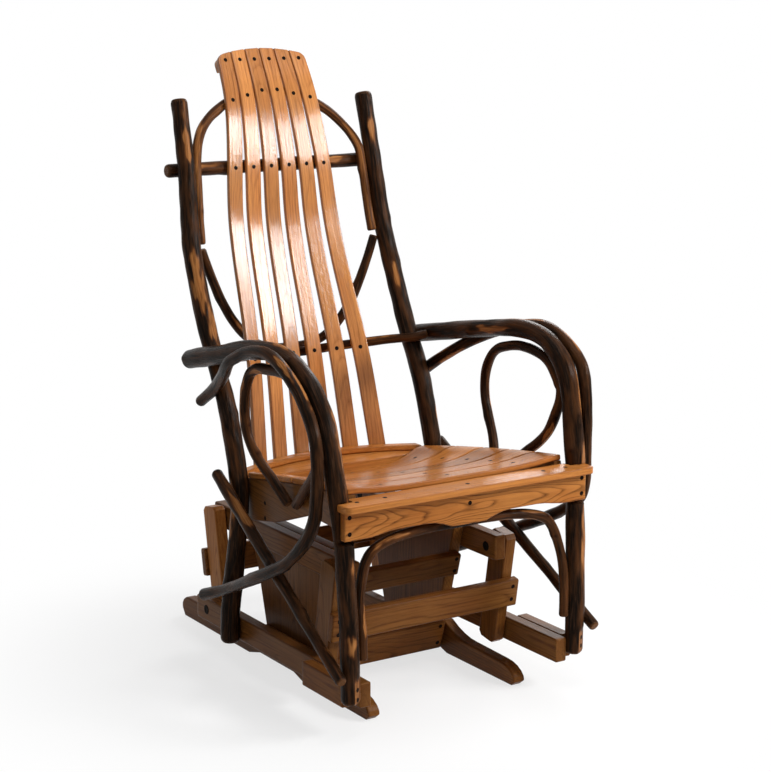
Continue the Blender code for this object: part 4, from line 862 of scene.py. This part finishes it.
bark_pole("left_post_dressed", "left_rear_post", 101, 2.0, patches=[
    (0.66, (-0.3, -1.0, 0.0), 0.16, 0.034), (0.58, (0.2, -1.0, 0.0), 0.12, 0.026),
    (0.93, (0.0, -1.0, 0.2), 0.16, 0.018)])
bark_pole("right_post_dressed", "right_rear_post", 102, 1.5, patches=[
    (0.93, (-0.1, -1.0, 0.0), 0.09, 0.026), (0.64, (-0.3, -1.0, 0.0), 0.09, 0.016),
    (0.36, (1.0, -0.7, 0.0), 0.07, 0.020)])
for number, side in enumerate(SIDES):
    sign = 1.0 if side == "right" else -1.0
    bark_pole(f"{side}_arm_dressed", f"{side}_inner_arm", 110 + number, 1.5, patches=LEG_PATCHES[side] + [
        (0.33, (0.6, -1.0, 0.0), 0.10, 0.022), (0.46, (1.0, -1.0, 0.4), 0.16, 0.016),
        (0.66, (0.0, -0.6, 1.0), 0.10, 0.020)],
        flats=[(0.0, LEG_FLAT_TOP, LEG_FLAT_WAY, LEG_FLAT_SHARE)], notch=leg_notch)
    bark_pole(f"{side}_outer_arm_dressed", f"{side}_outer_arm", 120 + number, 3.0, 0.04, patches=[
        (0.62, (0.5, -1.0, 0.6), 0.16, 0.012)])
    bark_pole(f"{side}_loop_dressed", f"{side}_arm_loop", 130 + number, 6.0, 0.14, patches=[
        (0.3, (sign, 0.0, 0.0), 0.12, 0.012), (0.7, (sign, -0.5, 0.0), 0.12, 0.012)])
    bark_pole(f"{side}_brace_dressed", f"{side}_side_brace", 140 + number, 3.0, 0.08, patches=[
        (0.78, (-0.4, -1.0, 0.6), 0.16, 0.022), (0.12, (0.3, -1.0, 0.3), 0.05, 0.014)])
for number, (node, thin_bark) in enumerate(THIN_BARK.items()):
    bark_pole(f"{node}_dressed", node, 150 + number, 7.0, thin_bark, patches=BAR_PATCHES.get(node, ()))
leg_screws = []
for side, heights in LEG_SCREWS.items():
    line, girth = pole_line(f"{side}_inner_arm")
    for height in heights:
        hub = np.array([np.interp(height, line[:6, 2], line[:6, k]) for k in range(3)])
        leg_screws.append((hub + LEG_FLAT_SHARE * girth[1] * LEG_FLAT_WAY, LEG_FLAT_WAY))
screws("leg_screws", leg_screws, "chair")

# Seat: a scalloped front apron and two side aprons carry a nosing, five dished slats and the curved rear
# board with its rail. All are tan oak under gloss varnish, the slats steamed to the dish.
apron_oak = oak("oak_apron", (0.43, 0.165, 0.037), (0.085, 0.025, 0.0050), 0.0013, 0.66, 0.28, 0.08)
seat_oak = oak("oak_seat", (0.55, 0.210, 0.050), (0.170, 0.053, 0.0100), 0.0018, 0.36, 0.22, 0.07)
APRON_SCREWS = ((-0.264, 0.426), (-0.264, 0.395), (0.264, 0.426), (0.264, 0.395), (0.0, 0.415))
SIDE_SCREW_Y = -0.019
SIDE_SCREW_HEIGHTS = (0.3586, 0.3279)
NOSING_SCREWS = (-0.243, -0.183, 0.0, 0.177, 0.230)
plane = board("front_apron_dressed", "front_apron", X_WAY, 0.0022, "chair", "oak_slats", apron_oak, 204)
seat_screws = on_face(plane, -Y_WAY, [(run, height - plane[1][2]) for run, height in APRON_SCREWS])
# The side aprons are dressed in the darkened base oak: painted shade for the shade under the slats' overhang.
for number, side in enumerate(SIDES):
    plane = board(f"{side}_apron_dressed", f"{side}_side_apron", Y_WAY, 0.0022, "chair", "oak_frame", painted_shade_oak,
                  210 + number)
    seat_screws += on_face(plane, X_WAY if side == "right" else -X_WAY,
                           [(SIDE_SCREW_Y - plane[1][1], z - plane[1][2]) for z in SIDE_SCREW_HEIGHTS])
plane = board("nosing_dressed", "seat_nosing", X_WAY, 0.0022, "chair", "oak_slats", seat_oak, 220)
seat_screws += on_face(plane, Z_WAY, [(run, 0.0) for run in NOSING_SCREWS])
board("rear_board_dressed", "rear_seat_board", X_WAY, 0.0025, "chair", "oak_slats", seat_oak, 221)
board("rear_rail_dressed", "rear_seat_rail", X_WAY, 0.0035, "chair", "oak_slats", seat_oak, 222)


def soften(values, reach):
    """Values at even steps, each replaced by a bell-weighted mean of its neighbours. Beyond an end the run goes
    on turned about its end point, so that the ends stay."""
    weights = np.exp(-0.5 * (np.arange(-3 * reach, 3 * reach + 1) / reach)**2)
    ahead = 2 * values[:1] - values[3 * reach:0:-1]
    behind = 2 * values[-1:] - values[-2:-3 * reach - 2:-1]
    longer = np.vstack([ahead, values, behind])
    return np.stack([np.convolve(column, weights / weights.sum(), "valid") for column in longer.T], axis=-1)


CORNER_RADIUS = 0.015
SLAT_STEP = 0.004
SLAT_SAMPLE = 0.002


def bent_slat(name, node, along, across, ease, material, seed, spread=0.1, soft=5, corners_cut=()):
    """A bent slat. The CAD node's rows of four corners, read from its first end, give its middle, breadth and
    thickness. Smooth curves run through them, softened over a number of samples, and a rounded section
    follows. Each of corners_cut, an end and a side, is drawn in as a quarter circle. Gives back the curves of
    its middle, of the way through it and of half its thickness."""
    corners, faces = cad_shape(node)
    first = np.argsort(corners @ along)[:4]
    rows = corners[np.stack(cross_cuts(faces, len(corners), first))]
    by_breadth = np.take_along_axis(rows, np.argsort(rows @ across, axis=1)[..., None], axis=1)
    through = np.cross(along, across)
    near, far = by_breadth[:, :2], by_breadth[:, 2:]
    near = np.take_along_axis(near, np.argsort(near @ through, axis=1)[..., None], axis=1)
    far = np.take_along_axis(far, np.argsort(far @ through, axis=1)[..., None], axis=1)
    middle = rows.mean(axis=1)
    breadth = far.mean(axis=1) - near.mean(axis=1)
    depth = (near[:, 1] + far[:, 1] - near[:, 0] - far[:, 0]) / 2
    at, line, rest = curve_through(middle, np.hstack([breadth, depth]), SLAT_SAMPLE)
    run, draw = eased_stations(at[-1], ease, SLAT_STEP)
    full = soften(np.hstack([line, rest]), soft)
    full = np.stack([np.interp(run, at, column) for column in full.T], axis=-1)
    centre, breadth, depth = full[:, :3], full[:, 3:6], full[:, 6:]
    half_broad = np.linalg.norm(breadth, axis=1) / 2
    half_deep = np.linalg.norm(depth, axis=1) / 2
    broad_way = breadth / (2 * half_broad[:, None])
    deep_way = depth / (2 * half_deep[:, None])
    near_cut, far_cut = np.zeros(len(run)), np.zeros(len(run))
    for end, side in corners_cut:
        inside = np.clip(CORNER_RADIUS - (run[-1] - run if end == "last" else run), 0.0, CORNER_RADIUS)
        cut = CORNER_RADIUS - np.sqrt(CORNER_RADIUS**2 - inside**2)
        near_cut, far_cut = (near_cut, far_cut + cut) if side == "far" else (near_cut + cut, far_cut)
    ring, edge = rounded_ring(half_broad - (near_cut + far_cut) / 2 - draw,
                              half_deep - np.minimum(draw, 0.8 * half_deep), np.full(len(run), ease))
    ring[..., 0] += (near_cut - far_cut)[:, None] / 2
    points = centre[:, None] + ring[..., :1] * broad_way[:, None] + ring[..., 1:] * deep_way[:, None]
    grain = grain_layer(ring[..., 0], ring[..., 1], run[:, None], seed)
    skin(name, points, "chair", "oak_slats", material, [node], grain=grain, edge=edge,
         tone=tone_layer(edge.shape, seed, spread))
    return centre, deep_way, half_deep


def on_slat(curves, axis, facing, places):
    """Spots on the middle of a bent slat's face, at places measured on one axis of the frame."""
    centre, deep_way, half_deep = curves
    spots = np.stack([np.interp(places, centre[:, axis], centre[:, k]) for k in range(3)], axis=-1)
    ways = np.stack([np.interp(places, centre[:, axis], deep_way[:, k]) for k in range(3)], axis=-1)
    ways *= np.sign(ways @ facing)[:, None] / np.linalg.norm(ways, axis=1, keepdims=True)
    return list(zip(spots + ways * np.interp(places, centre[:, axis], half_deep)[:, None], ways))


SEAT_SCREWS = (-0.15, 0.0, 0.155)
for number in range(1, 6):
    curves = bent_slat(f"seat_slat_{number}_dressed", f"seat_slat_{number}", X_WAY, Y_WAY, 0.0030, seat_oak,
                       230 + number, 0.22)
    seat_screws += on_slat(curves, 0, Z_WAY, SEAT_SCREWS)
screws("seat_screws", seat_screws, "chair")

# Back: six slats steamed to the sitter's back and a curved crest rail behind their tops.
# The same tan oak, screwed to the bars and the crest.
back_oak = oak("oak_back", (0.52, 0.205, 0.052), (0.200, 0.064, 0.0120), 0.0030, 0.24, 0.12, 0.32)
TOP_CORNERS = {1: [("last", "near")], 6: [("last", "far")]}
BACK_SOFT = 14
CREST_SCREW, UPPER_BAR_SCREW, LOWER_BAR_SCREW = 1.200, 0.985, 0.603
BOW_SCREW, BOW_DROP = 1.142, 0.0085
back_screws = []
for number in range(1, 7):
    curves = bent_slat(f"back_slat_{number}_dressed", f"back_slat_{number}", Z_WAY, X_WAY, 0.0026, back_oak,
                       240 + number, 0.20, BACK_SOFT, TOP_CORNERS.get(number, ()))
    bow_screw = BOW_SCREW - BOW_DROP * abs(number - 3.5)
    back_screws += on_slat(curves, 2, -Y_WAY, [CREST_SCREW, bow_screw, UPPER_BAR_SCREW, LOWER_BAR_SCREW])
screws("back_screws", back_screws, "chair")
bent_slat("crest_dressed", "crest_rail", X_WAY, Z_WAY, 0.0030, back_oak, 260,
          corners_cut=[("first", "far"), ("last", "far")])
